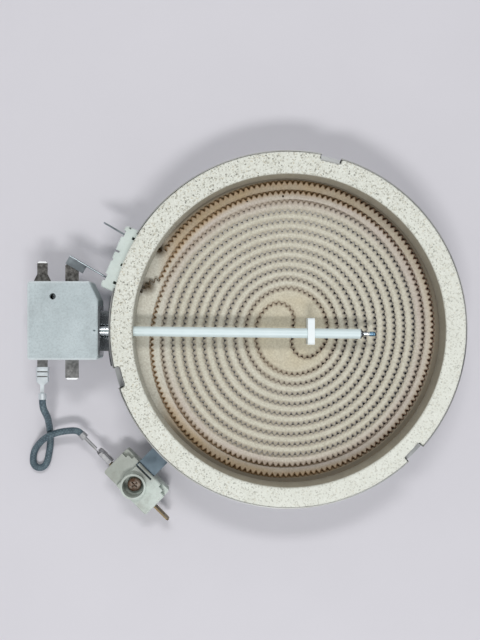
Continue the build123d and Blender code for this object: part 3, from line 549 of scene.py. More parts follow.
def layer(rows, stain_and_shade_shares, name):
    """Thin closed layer through rows of as many points: a line, extruded row by row, laid out and thickened.
    Each row's share of heat stain and painted ridge shade is kept on its points."""
    piece = drawn_line(name, rows[0])
    bpy.ops.object.mode_set(mode="EDIT")
    bpy.ops.mesh.select_all(action="SELECT")
    for _ in rows[1:]:
        bpy.ops.mesh.extrude_edges_move()
    bpy.ops.object.mode_set(mode="OBJECT")
    for vertex, place in zip(piece.data.vertices, [place for row in rows for place in row]):
        vertex.co = [c * MM for c in place]
    stain = piece.data.attributes.new("stain", "FLOAT", "POINT")
    stain.data.foreach_set("value", [share for row, share in zip(rows, stain_and_shade_shares) for place in row])
    bpy.ops.object.mode_set(mode="EDIT")
    bpy.ops.mesh.select_all(action="SELECT")
    bpy.ops.mesh.extrude_region_move(TRANSFORM_OT_translate={"value": (0, 0, -FILL_LAYER * MM)})
    bpy.ops.mesh.select_all(action="SELECT")
    bpy.ops.mesh.normals_make_consistent(inside=False)
    bpy.ops.object.mode_set(mode="OBJECT")
    return piece


def inner_rows(half, begin, outward, top, chance):
    """Insulation inside the ribbon: from the groove's inner wall up to every wave, flush with the base."""
    wall = [moved(place, -outward * (GROOVE_HALF + FILL_LAP), top) for place in half]
    face = []
    for n, place in enumerate(half):
        gap = RIBBON_SHEET / 2 + FACE_GAP * chance.random()
        face.append(moved(place, wave(begin + n) - outward * gap, top))
    return [wall, face]


def outer_rows(half, begin, outward, top, chance):
    """Insulation outside the ribbon: sunk to a pocket in every wave, and fallen away along the outermost
    turns."""
    edge = GROOVE_HALF + FILL_LAP
    rows = [[], [], [], []]
    for n, place in enumerate(half):
        x, y = place[:2]
        bend = outward * wave(begin + n)
        valley = ramp((1 - bend / WAVE_SWING) / 2, POCKET_FROM, POCKET_FULL)
        across = math.cos(math.atan2(y, x) + math.radians(CLEAR_TURN))
        bare = ramp(math.hypot(x, y), OPEN_FROM, OPEN_FULL)
        bare *= 1 - CLOSED_RIGHT * max(across, 0.0) - CLOSED_LEFT * max(-across, 0.0)
        clear = CLEAR_LEAST + CLEAR_RIGHT * max(across, 0.0) + CLEAR_LEFT * max(-across, 0.0)
        clear *= CLEAR_LOW + CLEAR_SPREAD * chance.random()
        width = max((POCKET_WIDTH + POCKET_WIDENS * clear) * valley, POCKET_LEAST)
        face = bend + RIBBON_SHEET / 2
        sunk = OPEN_DEPTH * bare
        near = max(POCKET_DEPTH * clear * valley, sunk)
        spots = (face, face + POCKET_FLOOR * width, face + width, edge)
        depths = (near, near, OPEN_MIDDLE * sunk, OPEN_EDGE * sunk)
        for row, spot, depth in zip(rows, spots, depths):
            row.append(moved(place, outward * min(spot, edge), top - depth))
    return rows


def make_fills():
    """Insulation on both sides of the ribbon, along both halves of the winding."""
    top = BASE_TOP - FILL_BELOW
    chance = random.Random(FILL_SEED)
    first, second = winding_halves()
    pieces = []
    sides = (("fill_inside", inner_rows, INNER_STAIN_AND_SHADE), ("fill_outside", outer_rows, OUTER_STAIN_AND_SHADE))
    for name, rows_of, stain_and_shade_shares in sides:
        halves = [layer(rows_of(half, begin, outward, top, chance), stain_and_shade_shares, name + "_half")
                  for half, begin, outward in ((first, 0, 1), (second, len(first), -1))]
        pieces.append(join(halves, name))
    return pieces


def make_ring():
    """Rim ring with a gritty, slightly worn surface."""
    ring = copy_of("rim_ring", "rim_ring_board")
    apply(ring, "REMESH", mode="VOXEL", voxel_size=RING_VOXEL * MM)
    for vertex in ring.data.vertices:
        if vertex.co.xy.length < BORE_WITHIN * MM:
            vertex.co.xy = [c + shift * MM for c, shift in zip(vertex.co.xy, BORE_SHIFT)]
    grit = bpy.data.textures.new("ring_grit", "CLOUDS")
    grit.noise_scale = RING_GRIT * MM
    grit.noise_depth = 2
    apply(ring, "DISPLACE", texture=grit, texture_coords="LOCAL", strength=RING_ROUGH * MM, mid_level=0.5)
    smooth(ring, RING_SMOOTH)
    return ring


def make_receptacle():
    """Receptacle on the limiter's lower left tab: two rolled edges leave grooves across its top."""
    receptacle = copy_of("limiter_receptacle", "limiter_receptacle_rolled")
    low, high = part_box("limiter_receptacle")
    for y in ROLLED_AT:
        deselect()
        bpy.ops.mesh.primitive_cube_add(size=1.0, location=((low.x + high.x) / 2, y * MM, ROLLED_TOP * MM))
        cutter = bpy.context.object
        cutter.scale = (2 * (high.x - low.x), ROLLED_WIDTH * MM, 2 * ROLLED_DEPTH * MM)
        bpy.ops.object.transform_apply(location=True, rotation=False, scale=True)
        apply(receptacle, "BOOLEAN", operation="DIFFERENCE", object=cutter, solver="EXACT")
        bpy.data.objects.remove(cutter)
    smooth(receptacle, RECEPTACLE_SMOOTH)
    return receptacle


def aluminised_steel():
    """Aluminised sheet steel, deep drawn: pale satin grey, rolling lines round the wall, and dull heat bloom
    towards the rim."""
    made, tree, shader, place = start("aluminised_steel")
    lines = add(tree, "Mapping", {"Vector": place, "Scale": (1, 1, 14)}).outputs[0]
    rolled = add(tree, "TexNoise", {"Vector": lines, "Scale": per(9), "Detail": 6}).outputs[0]
    cloud = add(tree, "TexNoise", {"Vector": place, "Scale": per(22), "Detail": 4}).outputs[0]
    colour = add(tree, "Mix", {0: rolled, 6: linear("#aeb2b3"), 7: linear("#cdd0d0")}, **COLOURS).outputs[2]
    height = add(tree, "SeparateXYZ", {0: place}).outputs[2]
    hot = add(tree, "MapRange", {0: height, 1: BLOOM_FROM * MM, 2: BLOOM_FULL * MM, 4: 0.7}).outputs[0]
    bloom = add(tree, "Math", {0: hot, 1: cloud}, operation="MULTIPLY").outputs[0]
    colour = add(tree, "Mix", {0: bloom, 6: colour, 7: linear("#8c8478")}, **COLOURS).outputs[2]
    dull = add(tree, "MapRange", {0: cloud, 1: 0.3, 2: 0.7, 3: 0.3, 4: 0.5}).outputs[0]
    ridges = add(tree, "Bump", {"Height": rolled, "Strength": 0.08, "Distance": 0.05 * MM}).outputs[0]
    wire(tree, shader, {"Base Color": colour, "Roughness": dull, "Normal": ridges, "Metallic": 1.0})
    return made


def line_stain_and_ridge_shade(tree, place, far):
    """Heat stain with painted shade of the rounded ridges on the base along the winding's lines: 1 beside a
    line, 0 on the ridge between two lines.
    """
    flat = add(tree, "SeparateXYZ", {0: place}).outputs
    across = add(tree, "Math", {0: flat[0], 1: WINDING_X * MM}, operation="SUBTRACT").outputs[0]
    upwards = add(tree, "Math", {0: flat[1], 1: WINDING_Y * MM}, operation="SUBTRACT").outputs[0]
    angle = add(tree, "Math", {0: upwards, 1: across}, operation="ARCTAN2").outputs[0]
    turn = add(tree, "Math", {0: angle, 1: 2 * math.pi}, operation="DIVIDE").outputs[0]
    turn = add(tree, "Math", {0: turn}, operation="FRACT").outputs[0]
    # First line's reach and the spacing at each eighth of a turn, in metres, as two channels of a colour
    # ramp. A full turn moves a line out by two spacings.
    reaches = LINE_REACH + (LINE_REACH[0] + 2 * LINE_SPACING[0],)
    spacings = LINE_SPACING + LINE_SPACING[:1]
    table = add(tree, "ValToRGB", {0: turn})
    table.color_ramp.interpolation = "CARDINAL"
    for eighth in range(1, 8):
        table.color_ramp.elements.new(eighth / 8)
    for stop, first, spacing in zip(table.color_ramp.elements, reaches, spacings):
        stop.color = (first * MM, spacing * MM, 0.0, 1.0)
    first, spacing = add(tree, "SeparateColor", {0: table.outputs[0]}).outputs[:2]
    beyond = add(tree, "Math", {0: far, 1: first}, operation="SUBTRACT").outputs[0]
    lines = add(tree, "Math", {0: beyond, 1: spacing}, operation="DIVIDE").outputs[0]
    off = add(tree, "Math", {0: lines, 1: 0.5}, operation="PINGPONG").outputs[0]
    off = add(tree, "Math", {0: off, 1: spacing}, operation="MULTIPLY").outputs[0]
    halo_stain_and_shade = add(tree, "MapRange", {0: off, 1: HALO_END * MM, 2: HALO_FULL * MM}).outputs[0]
    # The second arm begins one line further in, from a little before half a turn.
    innermost = add(tree, "MapRange", {0: turn, 1: ARM_FROM, 2: ARM_FULL, 3: -0.5, 4: -1.5}).outputs[0]
    wound = add(tree, "Math", {0: lines, 1: innermost}, operation="GREATER_THAN").outputs[0]
    return add(tree, "Math", {0: halo_stain_and_shade, 1: wound}, operation="MULTIPLY").outputs[0]


def pressed_insulation():
    """Microporous insulation, pressed: matt cream with a fine grain and odd dark specks, tan to mauve along
    the hottest turns, scorched brown at the ribbon's ends, and soot with painted shade in the pockets beside
    the ribbon."""
    made, tree, shader, place = start("pressed_insulation")
    axes = add(tree, "SeparateXYZ", {0: place}).outputs
    far = add(tree, "VectorMath", {0: place, 1: WINDING_CENTRE}, operation="DISTANCE").outputs["Value"]
    cloud = add(tree, "TexNoise", {"Vector": place, "Scale": per(12), "Detail": 5}).outputs[0]
    colour = add(tree, "Mix", {0: cloud, 6: linear("#cfccbb"), 7: linear("#dfdccd")}, **COLOURS).outputs[2]
    # The margin on the left, where the ribbon ends, stayed pale.
    right = add(tree, "MapRange", {0: axes[0], 1: MARGIN_FULL * MM, 2: MARGIN_FROM * MM, 3: 0.05}).outputs[0]
    margin = add(tree, "MapRange", {0: right, 3: 0.7, 4: 0.0}).outputs[0]
    colour = add(tree, "Mix", {0: margin, 6: colour, 7: linear("#dcdcd2")}, **COLOURS).outputs[2]
    # Bands of heat stain in patches, the outermost one greyer on the right.
    patch = add(tree, "MapRange", {0: cloud, 1: 0.35, 2: 0.65, 3: 0.6}).outputs[0]
    patch = add(tree, "Math", {0: patch, 1: right}, operation="MULTIPLY").outputs[0]
    far_right = add(tree, "MapRange", {0: axes[0], 1: RIGHT_FROM * MM, 2: RIGHT_FULL * MM}).outputs[0]
    tan = add(tree, "Mix", {0: far_right, 6: linear("#d1bc9b"), 7: linear("#cfc5b1")}, **COLOURS).outputs[2]
    bands = ((MAUVE_BAND, linear("#cdc3ba")), (TAN_BAND, tan), (INNER_BAND, linear("#cfc6ae")))
    for (begin, full), tint in bands:
        band = add(tree, "MapRange", {0: far, 1: begin * MM, 2: full * MM}).outputs[0]
        share = add(tree, "Math", {0: band, 1: patch}, operation="MULTIPLY").outputs[0]
        colour = add(tree, "Mix", {0: share, 6: colour, 7: tint}, **COLOURS).outputs[2]
    # Darker grey-brown at the ring's foot.
    foot = add(tree, "MapRange", {0: reach(tree, place), 1: FOOT_FROM * MM, 2: FOOT_FULL * MM}).outputs[0]
    share = add(tree, "Math", {0: foot, 1: right}, operation="MULTIPLY").outputs[0]
    colour = add(tree, "Mix", {0: share, 6: colour, 7: linear("#7e776a")}, **COLOURS).outputs[2]
    # Stain along the lines with painted shade of the rounded ridges, deepest towards the lower left. The
    # layer of the open outer turns stayed pale.
    outer = add(tree, "MapRange", {0: far, 1: HOT_FROM * MM, 2: HOT_FULL * MM}).outputs[0]
    beside = add(tree, "Attribute", attribute_name="stain").outputs["Fac"]
    ridged = add(tree, "Math", {0: line_stain_and_ridge_shade(tree, place, far), 1: right}, operation="MULTIPLY").outputs[0]
    halo_stain_and_shade = add(tree, "Math", {0: beside, 1: ridged}, operation="MAXIMUM").outputs[0]
    lower_left = (-DIAGONAL, -DIAGONAL, 0.0)
    along_it = add(tree, "VectorMath", {0: place, 1: lower_left}, operation="DOT_PRODUCT").outputs["Value"]
    span = STAIN_SPAN * MM
    strength = add(tree, "MapRange", {0: along_it, 1: -span, 2: span, 3: 0.3, 4: 0.7}).outputs[0]
    pale = add(tree, "MapRange", {0: outer, 3: 1.0, 4: 0.3}).outputs[0]
    strength = add(tree, "Math", {0: strength, 1: pale}, operation="MULTIPLY").outputs[0]
    halo_stain_and_shade = add(tree, "Math", {0: halo_stain_and_shade, 1: strength}, operation="MULTIPLY").outputs[0]
    singed_and_shaded = add(tree, "Mix", {0: outer, 6: linear("#ab9f8c"), 7: linear("#a98d68")}, **COLOURS).outputs[2]
    colour = add(tree, "Mix", {0: halo_stain_and_shade, 6: colour, 7: singed_and_shaded}, **COLOURS).outputs[2]
    # Ragged burns at the ribbon's ends.
    noise = add(tree, "TexNoise", {"Vector": place, "Scale": per(2.5), "Detail": 6, "Roughness": 0.7})
    ragged = noise.outputs[0]
    for x, y in SCORCHED:
        spot = (x * MM, y * MM, BASE_TOP * MM)
        near = add(tree, "VectorMath", {0: place, 1: spot}, operation="DISTANCE").outputs["Value"]
        burnt = add(tree, "MapRange", {0: near, 1: SCORCH_END * MM, 2: SCORCH_FULL * MM, 4: 2.0}).outputs[0]
        share = add(tree, "Math", {0: burnt, 1: ragged}, operation="MULTIPLY", use_clamp=True).outputs[0]
        colour = add(tree, "Mix", {0: share, 6: colour, 7: linear("#4f4230")}, **COLOURS).outputs[2]
    # Soot in the pockets, with painted shade that deepens with depth below the base's top; darker towards the
    # right.
    shallow = (BASE_TOP - SOOT_SHADE_FROM) * MM
    sunk = (BASE_TOP - SOOT_SHADE_FULL) * MM
    deep = add(tree, "MapRange", {0: axes[2], 1: shallow, 2: sunk, 4: 0.9}).outputs[0]
    brown = add(tree, "Mix", {0: far_right, 6: linear("#94744a"), 7: linear("#5e4738")}, **COLOURS).outputs[2]
    soot = add(tree, "Mix", {0: outer, 6: linear("#4a4641"), 7: brown}, **COLOURS).outputs[2]
    colour = add(tree, "Mix", {0: deep, 6: colour, 7: soot}, **COLOURS).outputs[2]
    # Grain and odd dark specks.
    grain = add(tree, "TexNoise", {"Vector": place, "Scale": per(0.8), "Detail": 3}).outputs[0]
    shade = add(tree, "MapRange", {0: grain, 1: 0.35, 2: 0.7, 4: 0.32}).outputs[0]
    colour = add(tree, "Mix", {0: shade, 6: colour, 7: linear("#8d8067")}, **COLOURS).outputs[2]
    cells = add(tree, "TexVoronoi", {"Vector": place, "Scale": per(9)}).outputs
    dot = add(tree, "MapRange", {0: cells["Distance"], 1: 0.075, 2: 0.05}).outputs[0]
    chosen = add(tree, "SeparateColor", {0: cells["Color"]}).outputs[0]
    some = add(tree, "Math", {0: chosen, 1: 0.75}, operation="GREATER_THAN").outputs[0]
    speck = add(tree, "Math", {0: dot, 1: some}, operation="MULTIPLY").outputs[0]
    colour = add(tree, "Mix", {0: speck, 6: colour, 7: linear("#3b342a")}, **COLOURS).outputs[2]
    bumps = add(tree, "Bump", {"Height": grain, "Strength": 0.4, "Distance": 0.15 * MM}).outputs[0]
    wire(tree, shader, {"Base Color": colour, "Normal": bumps, "Roughness": 0.95, "Specular IOR Level": 0.15})
    return made


def vermiculite_board():
    """Vermiculite board, moulded: off-white grit with fine grey and golden flecks, dusty towards the lower
    right, and browned on the inner wall with painted shade that darkens it downwards. The flecks are drawn a
    little coarser than they are, so that they show."""
    made, tree, shader, place = start("vermiculite_board")
    axes = add(tree, "SeparateXYZ", {0: place}).outputs
    flakes = add(tree, "TexVoronoi", {"Vector": place, "Scale": per(0.6)}).outputs
    pick = add(tree, "SeparateColor", {0: flakes["Color"]}).outputs
    cloud = add(tree, "TexNoise", {"Vector": place, "Scale": per(7), "Detail": 6}).outputs[0]
    colour = add(tree, "Mix", {0: cloud, 6: linear("#dcded3"), 7: linear("#eaece3")}, **COLOURS).outputs[2]
    # Dust covers the flecks towards the lower right.
    upper_left = (-DIAGONAL, DIAGONAL, 0.0)
    along_it = add(tree, "VectorMath", {0: place, 1: upper_left}, operation="DOT_PRODUCT").outputs["Value"]
    bare = add(tree, "MapRange", {0: along_it, 1: DUST_FULL * MM, 2: DUST_FROM * MM, 3: 0.45}).outputs[0]
    tone = add(tree, "MapRange", {0: pick[1], 4: 0.3}).outputs[0]
    tone = add(tree, "Math", {0: tone, 1: bare}, operation="MULTIPLY").outputs[0]
    colour = add(tree, "Mix", {0: tone, 6: colour, 7: linear("#b7b6a9")}, **COLOURS).outputs[2]
    for middle, half, code in ((0.01, 0.01, "#85857c"), (0.15, 0.02, "#cbc7b5"), (0.3, 0.06, "#b3b2a6")):
        flake = add(tree, "Math", {0: pick[0], 1: middle, 2: half}, operation="COMPARE").outputs[0]
        flake = add(tree, "Math", {0: flake, 1: bare}, operation="MULTIPLY").outputs[0]
        colour = add(tree, "Mix", {0: flake, 6: colour, 7: linear(code)}, **COLOURS).outputs[2]
    grain = add(tree, "TexNoise", {"Vector": place, "Scale": per(0.9), "Detail": 3, "Roughness": 0.6})
    specks = add(tree, "MapRange", {0: grain.outputs[0], 1: 0.48, 2: 0.68, 4: 0.45}).outputs[0]
    specks = add(tree, "Math", {0: specks, 1: bare}, operation="MULTIPLY").outputs[0]
    colour = add(tree, "Mix", {0: specks, 6: colour, 7: linear("#aeac9e")}, **COLOURS).outputs[2]
    # Inner wall: browned by heat, in streaks, with painted shade that darkens it further down, and less on
    # the left.
    wall = add(tree, "MapRange", {0: reach(tree, place), 1: WALL_FROM * MM, 2: WALL_FULL * MM}).outputs[0]
    ring_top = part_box("rim_ring")[1].z
    upper = ring_top - WALL_DEPTH_FROM * MM
    lower = ring_top - WALL_DEPTH_FULL * MM
    depth = add(tree, "MapRange", {0: axes[2], 1: upper, 2: lower}).outputs[0]
    inside = add(tree, "Math", {0: wall, 1: depth}, operation="MULTIPLY").outputs[0]
    drawn = add(tree, "Mapping", {"Vector": place, "Scale": (1, 1, 0.25)}).outputs[0]
    streaks = add(tree, "TexNoise", {"Vector": drawn, "Scale": per(6), "Detail": 5}).outputs[0]
    brown = add(tree, "Mix", {0: streaks, 6: linear("#7b7262"), 7: linear("#a39a86")}, **COLOURS).outputs[2]
    age = add(tree, "MapRange", {
        0: axes[0], 1: AGED_FROM * MM, 2: AGED_FULL * MM, 3: 0.35, 4: 0.85,
    }).outputs[0]
    browned_and_shaded = add(tree, "Math", {0: inside, 1: age}, operation="MULTIPLY").outputs[0]
    colour = add(tree, "Mix", {0: browned_and_shaded, 6: colour, 7: brown}, **COLOURS).outputs[2]
    flaky = flakes["Distance"]
    bumps = add(tree, "Bump", {"Height": flaky, "Strength": 0.2, "Distance": 0.2 * MM}).outputs[0]
    wire(tree, shader, {"Base Color": colour, "Normal": bumps, "Roughness": 0.9, "Specular IOR Level": 0.25})
    return made


def oxidised_ribbon(name, grey_codes, brown_codes, painted_light_top):
    """Iron-chromium-aluminium ribbon, oxidised: dull pale grey, brown on the hottest turns, and nearly black
    with soot at its free end."""
    made, tree, shader, place = start(name)
    axes = add(tree, "SeparateXYZ", {0: place}).outputs
    far = add(tree, "VectorMath", {0: place, 1: WINDING_CENTRE}, operation="DISTANCE").outputs["Value"]
    cloud = add(tree, "TexNoise", {"Vector": place, "Scale": per(4), "Detail": 4}).outputs[0]
    grey, brown = [
        add(tree, "Mix", {0: cloud, 6: linear(dark), 7: linear(light)}, **COLOURS).outputs[2]
        for dark, light in (grey_codes, brown_codes)
    ]
    # Paler towards the top, painted light, and darker towards the right.
    top = add(tree, "MapRange", {0: axes[1], 1: TOP_FROM * MM, 2: TOP_FULL * MM, 4: painted_light_top}).outputs[0]
    grey = add(tree, "Mix", {0: top, 6: grey, 7: linear("#c0beb8")}, **COLOURS).outputs[2]
    right = add(tree, "MapRange", {0: axes[0], 1: RIGHT_FROM * MM, 2: RIGHT_FULL * MM, 4: 0.7}).outputs[0]
    grey = add(tree, "Mix", {0: right, 6: grey, 7: linear("#6d6b69")}, **COLOURS).outputs[2]
    brown = add(tree, "Mix", {0: right, 6: brown, 7: linear("#5c3f35")}, **COLOURS).outputs[2]
    hot = add(tree, "MapRange", {0: far, 1: HOT_FROM * MM, 2: HOT_FULL * MM}).outputs[0]
    inmost = add(tree, "MapRange", {0: far, 1: INMOST_FROM * MM, 2: INMOST_FULL * MM, 4: 0.6}).outputs[0]
    warm = add(tree, "Math", {0: hot, 1: inmost}, operation="MAXIMUM").outputs[0]
    both = add(tree, "Mix", {0: warm, 6: grey, 7: brown}, **COLOURS).outputs[2]
    dull = add(tree, "MapRange", {0: cloud, 1: 0.3, 2: 0.7, 3: 0.55, 4: 0.75}).outputs[0]
    wire(tree, shader, {"Base Color": both, "Roughness": dull, "Metallic": 0.3})
    return made


def rod_ceramic(name, dark, light):
    """Fired ceramic, extruded or pressed: smooth cool white with a soft sheen and faint clouding."""
    made, tree, shader, place = start(name)
    cloud = add(tree, "TexNoise", {"Vector": place, "Scale": per(6), "Detail": 4}).outputs[0]
    white = add(tree, "Mix", {0: cloud, 6: linear(dark), 7: linear(light)}, **COLOURS).outputs[2]
    grain = add(tree, "TexNoise", {"Vector": place, "Scale": per(0.5), "Detail": 2}).outputs[0]
    bumps = add(tree, "Bump", {"Height": grain, "Strength": 0.12, "Distance": 0.05 * MM}).outputs[0]
    dull = add(tree, "MapRange", {0: cloud, 1: 0.3, 2: 0.7, 3: 0.3, 4: 0.42}).outputs[0]
    wire(tree, shader, {"Base Color": white, "Roughness": dull, "Normal": bumps})
    return made


def steatite(name, dark, light, dirt, dirt_share, speckle_share, darker_end=0.0, highlit_edges_of=None):
    """Steatite, pressed and fired: satin stone with a fine speckle and handling dirt in clouds, on the
    connector darker towards its upper left end and in patches beside the hook, and on the head painted
    highlights along its edges."""
    made, tree, shader, place = start(name)
    cloud = add(tree, "TexNoise", {"Vector": place, "Scale": per(8), "Detail": 6}).outputs[0]
    colour = add(tree, "Mix", {0: cloud, 6: linear(dark), 7: linear(light)}, **COLOURS).outputs[2]
    grain = add(tree, "TexNoise", {"Vector": place, "Scale": per(1.0), "Detail": 4, "Roughness": 0.7})
    speckle = add(tree, "MapRange", {0: grain.outputs[0], 1: 0.45, 2: 0.7, 4: speckle_share}).outputs[0]
    colour = add(tree, "Mix", {0: speckle, 6: colour, 7: linear(dirt)}, **COLOURS).outputs[2]
    noise = add(tree, "TexNoise", {"Vector": place, "Scale": per(15), "Detail": 7, "Roughness": 0.65})
    smudge = noise.outputs[0]
    soiled = add(tree, "MapRange", {0: smudge, 1: 0.5, 2: 0.72, 4: dirt_share}).outputs[0]
    colour = add(tree, "Mix", {0: soiled, 6: colour, 7: linear(dirt)}, **COLOURS).outputs[2]
    if darker_end:
        # Darker towards the upper left end, and in patches beside the hook.
        lower_right = (DIAGONAL, -DIAGONAL, 0.0)
        run = add(tree, "VectorMath", {0: place, 1: lower_right}, operation="DOT_PRODUCT").outputs["Value"]
        end_darkening = add(tree, "MapRange", {
            0: run, 1: END_DARK_FROM * MM, 2: END_DARK_FULL * MM, 4: darker_end,
        }).outputs[0]
        colour = add(tree, "Mix", {0: end_darkening, 6: colour, 7: linear(dirt)}, **COLOURS).outputs[2]
        hook = [c * MM for c in HOOK_DARK_SPOT]
        near = add(tree, "VectorMath", {0: place, 1: hook}, operation="DISTANCE").outputs["Value"]
        hook_darkening = add(tree, "MapRange", {0: near, 1: HOOK_DARK_END * MM, 2: HOOK_DARK_FULL * MM, 4: 1.1}).outputs[0]
        patchy = add(tree, "Math", {0: hook_darkening, 1: smudge}, operation="MULTIPLY", use_clamp=True).outputs[0]
        colour = add(tree, "Mix", {0: patchy, 6: colour, 7: linear("#6b6a62")}, **COLOURS).outputs[2]
    # Painted highlights along the head's edges.
    if highlit_edges_of:
        low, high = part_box(highlit_edges_of)
        axes = add(tree, "SeparateXYZ", {0: place}).outputs
        for axis, edge, inwards in ((0, low.x, 1), (1, low.y, 1), (1, high.y, -1)):
            inner = edge + inwards * EDGE_HIGHLIGHT_WIDTH * MM
            edge_highlight = add(tree, "MapRange", {0: axes[axis], 1: inner, 2: edge, 4: 0.7}).outputs[0]
            colour = add(tree, "Mix", {0: edge_highlight, 6: colour, 7: linear("#e4ebeb")}, **COLOURS).outputs[2]
    bumps = add(tree, "Bump", {"Height": grain.outputs[0], "Strength": 0.2, "Distance": 0.06 * MM}).outputs[0]
    wire(tree, shader, {"Base Color": colour, "Roughness": 0.55, "Normal": bumps})
    return made


def bare_metal(name, dark, light, grain_size, smooth_end, rough_end, burnt_within=0.0):
    """Sheet or turned metal: fine clouding in colour and gloss, with hairline scratches, and scorched brown
    where it reaches into the heater."""
    made, tree, shader, place = start(name)
    noise = add(tree, "TexNoise", {"Vector": place, "Scale": per(grain_size), "Detail": 6, "Roughness": 0.6})
    cloud = noise.outputs[0]
    colour = add(tree, "Mix", {0: cloud, 6: linear(dark), 7: linear(light)}, **COLOURS).outputs[2]
    if burnt_within:
        full = (burnt_within - BURNT_EDGE) * MM
        inside = add(tree, "MapRange", {0: reach(tree, place), 1: burnt_within * MM, 2: full}).outputs[0]
        colour = add(tree, "Mix", {0: inside, 6: colour, 7: linear("#4a3a28")}, **COLOURS).outputs[2]
    gloss = add(tree, "MapRange", {0: cloud, 1: 0.3, 2: 0.7, 3: smooth_end, 4: rough_end}).outputs[0]
    drawn = add(tree, "Mapping", {"Vector": place, "Scale": (1, 9, 1), "Rotation": (0, 0, 0.6)}).outputs[0]
    hairs = add(tree, "TexNoise", {"Vector": drawn, "Scale": per(1.5), "Detail": 3}).outputs[0]
    scratches = add(tree, "Bump", {"Height": hairs, "Strength": 0.03, "Distance": 0.03 * MM}).outputs[0]
    wire(tree, shader, {"Base Color": colour, "Roughness": gloss, "Normal": scratches, "Metallic": 1.0})
    return made


def tarnished_nickel():
    """Nickel-plated tab, tarnished: dull dark grey with paler scuffs, paler on the lower tabs, and a painted
    highlight on its rolled tip."""
    made, tree, shader, place = start("tarnished_nickel")
    noise = add(tree, "TexNoise", {"Vector": place, "Scale": per(1.6), "Detail": 6, "Roughness": 0.65})
    cloud = noise.outputs[0]
    scuffs = add(tree, "MapRange", {0: cloud, 1: 0.35, 2: 0.7}).outputs[0]
    colour = add(tree, "Mix", {0: scuffs, 6: linear("#5c5a56"), 7: linear("#9a9894")}, **COLOURS).outputs[2]
    across = add(tree, "SeparateXYZ", {0: place}).outputs[1]
    lower = add(tree, "MapRange", {0: across, 1: TAB_LOWER * MM, 2: -TAB_LOWER * MM, 4: 0.35}).outputs[0]
    colour = add(tree, "Mix", {0: lower, 6: colour, 7: linear("#b9bbbc")}, **COLOURS).outputs[2]
    # Painted highlight on the tips.
    away = add(tree, "Math", {0: across, 1: TAB_MIDDLE * MM}, operation="SUBTRACT").outputs[0]
    away = add(tree, "Math", {0: away}, operation="ABSOLUTE").outputs[0]
    tip = add(tree, "MapRange", {0: away, 1: TAB_HIGHLIGHT_FROM * MM, 2: TAB_HIGHLIGHT_FULL * MM}).outputs[0]
    colour = add(tree, "Mix", {0: tip, 6: colour, 7: linear("#eceeee")}, **COLOURS).outputs[2]
    metal = add(tree, "MapRange", {0: tip, 3: 1.0, 4: 0.2}).outputs[0]
    gloss = add(tree, "MapRange", {0: cloud, 1: 0.3, 2: 0.7, 3: 0.3, 4: 0.5}).outputs[0]
    bumps = add(tree, "Bump", {"Height": cloud, "Strength": 0.15, "Distance": 0.05 * MM}).outputs[0]
    wire(tree, shader, {"Base Color": colour, "Metallic": metal, "Roughness": gloss, "Normal": bumps})
    return made


def rusted_steel():
    """Zinc-plated screw steel, rusted: brown crust over dull grey metal."""
    made, tree, shader, place = start("rusted_steel")
    noise = add(tree, "TexNoise", {"Vector": place, "Scale": per(1.6), "Detail": 8, "Roughness": 0.7})
    crust = noise.outputs[0]
    rust = add(tree, "MapRange", {0: crust, 1: 0.4, 2: 0.6}).outputs[0]
    colour = add(tree, "Mix", {0: rust, 6: linear("#8b8177"), 7: linear("#6b4a34")}, **COLOURS).outputs[2]
    metal = add(tree, "MapRange", {0: rust, 3: 0.9, 4: 0.1}).outputs[0]
    rough = add(tree, "MapRange", {0: rust, 3: 0.4, 4: 0.85}).outputs[0]
    bumps = add(tree, "Bump", {"Height": crust, "Strength": 0.5, "Distance": 0.1 * MM}).outputs[0]
    wire(tree, shader, {"Base Color": colour, "Metallic": metal, "Roughness": rough, "Normal": bumps})
    return made


def glass_braid():
    """Glass-fibre sleeve, braided and impregnated: slate blue threads crossing on a slant, paler on their
    crowns."""
    made, tree, shader, place = start("glass_braid")
    run = add(tree, "TexCoord").outputs["UV"]
    threads = add(tree, "Mapping", {"Vector": run, "Scale": (BRAID_ALONG, BRAID_ROUND, 1)}).outputs[0]
    split = add(tree, "SeparateXYZ", {0: threads}).outputs
    crowns = []
    for slant in (1, -1):
        turned = add(tree, "Math", {0: split[1], 1: slant}, operation="MULTIPLY").outputs[0]
        phase = add(tree, "Math", {0: split[0], 1: turned}, operation="ADD").outputs[0]
        crowns.append(add(tree, "Math", {0: phase, 1: 1.0}, operation="PINGPONG").outputs[0])
    weave = add(tree, "Math", {0: crowns[0], 1: crowns[1]}, operation="MULTIPLY").outputs[0]
    colour = add(tree, "Mix", {0: weave, 6: linear("#37474f"), 7: linear("#5f7480")}, **COLOURS).outputs[2]
    fuzz = add(tree, "TexNoise", {"Vector": place, "Scale": per(2.5), "Detail": 6}).outputs[0]
    worn = add(tree, "MapRange", {0: fuzz, 1: 0.4, 2: 0.75, 4: 0.5}).outputs[0]
    colour = add(tree, "Mix", {0: worn, 6: colour, 7: linear("#75898f")}, **COLOURS).outputs[2]
    bumps = add(tree, "Bump", {"Height": weave, "Strength": 0.6, "Distance": 0.15 * MM}).outputs[0]
    wire(tree, shader, {"Base Color": colour, "Normal": bumps, "Roughness": 0.5})
    return made


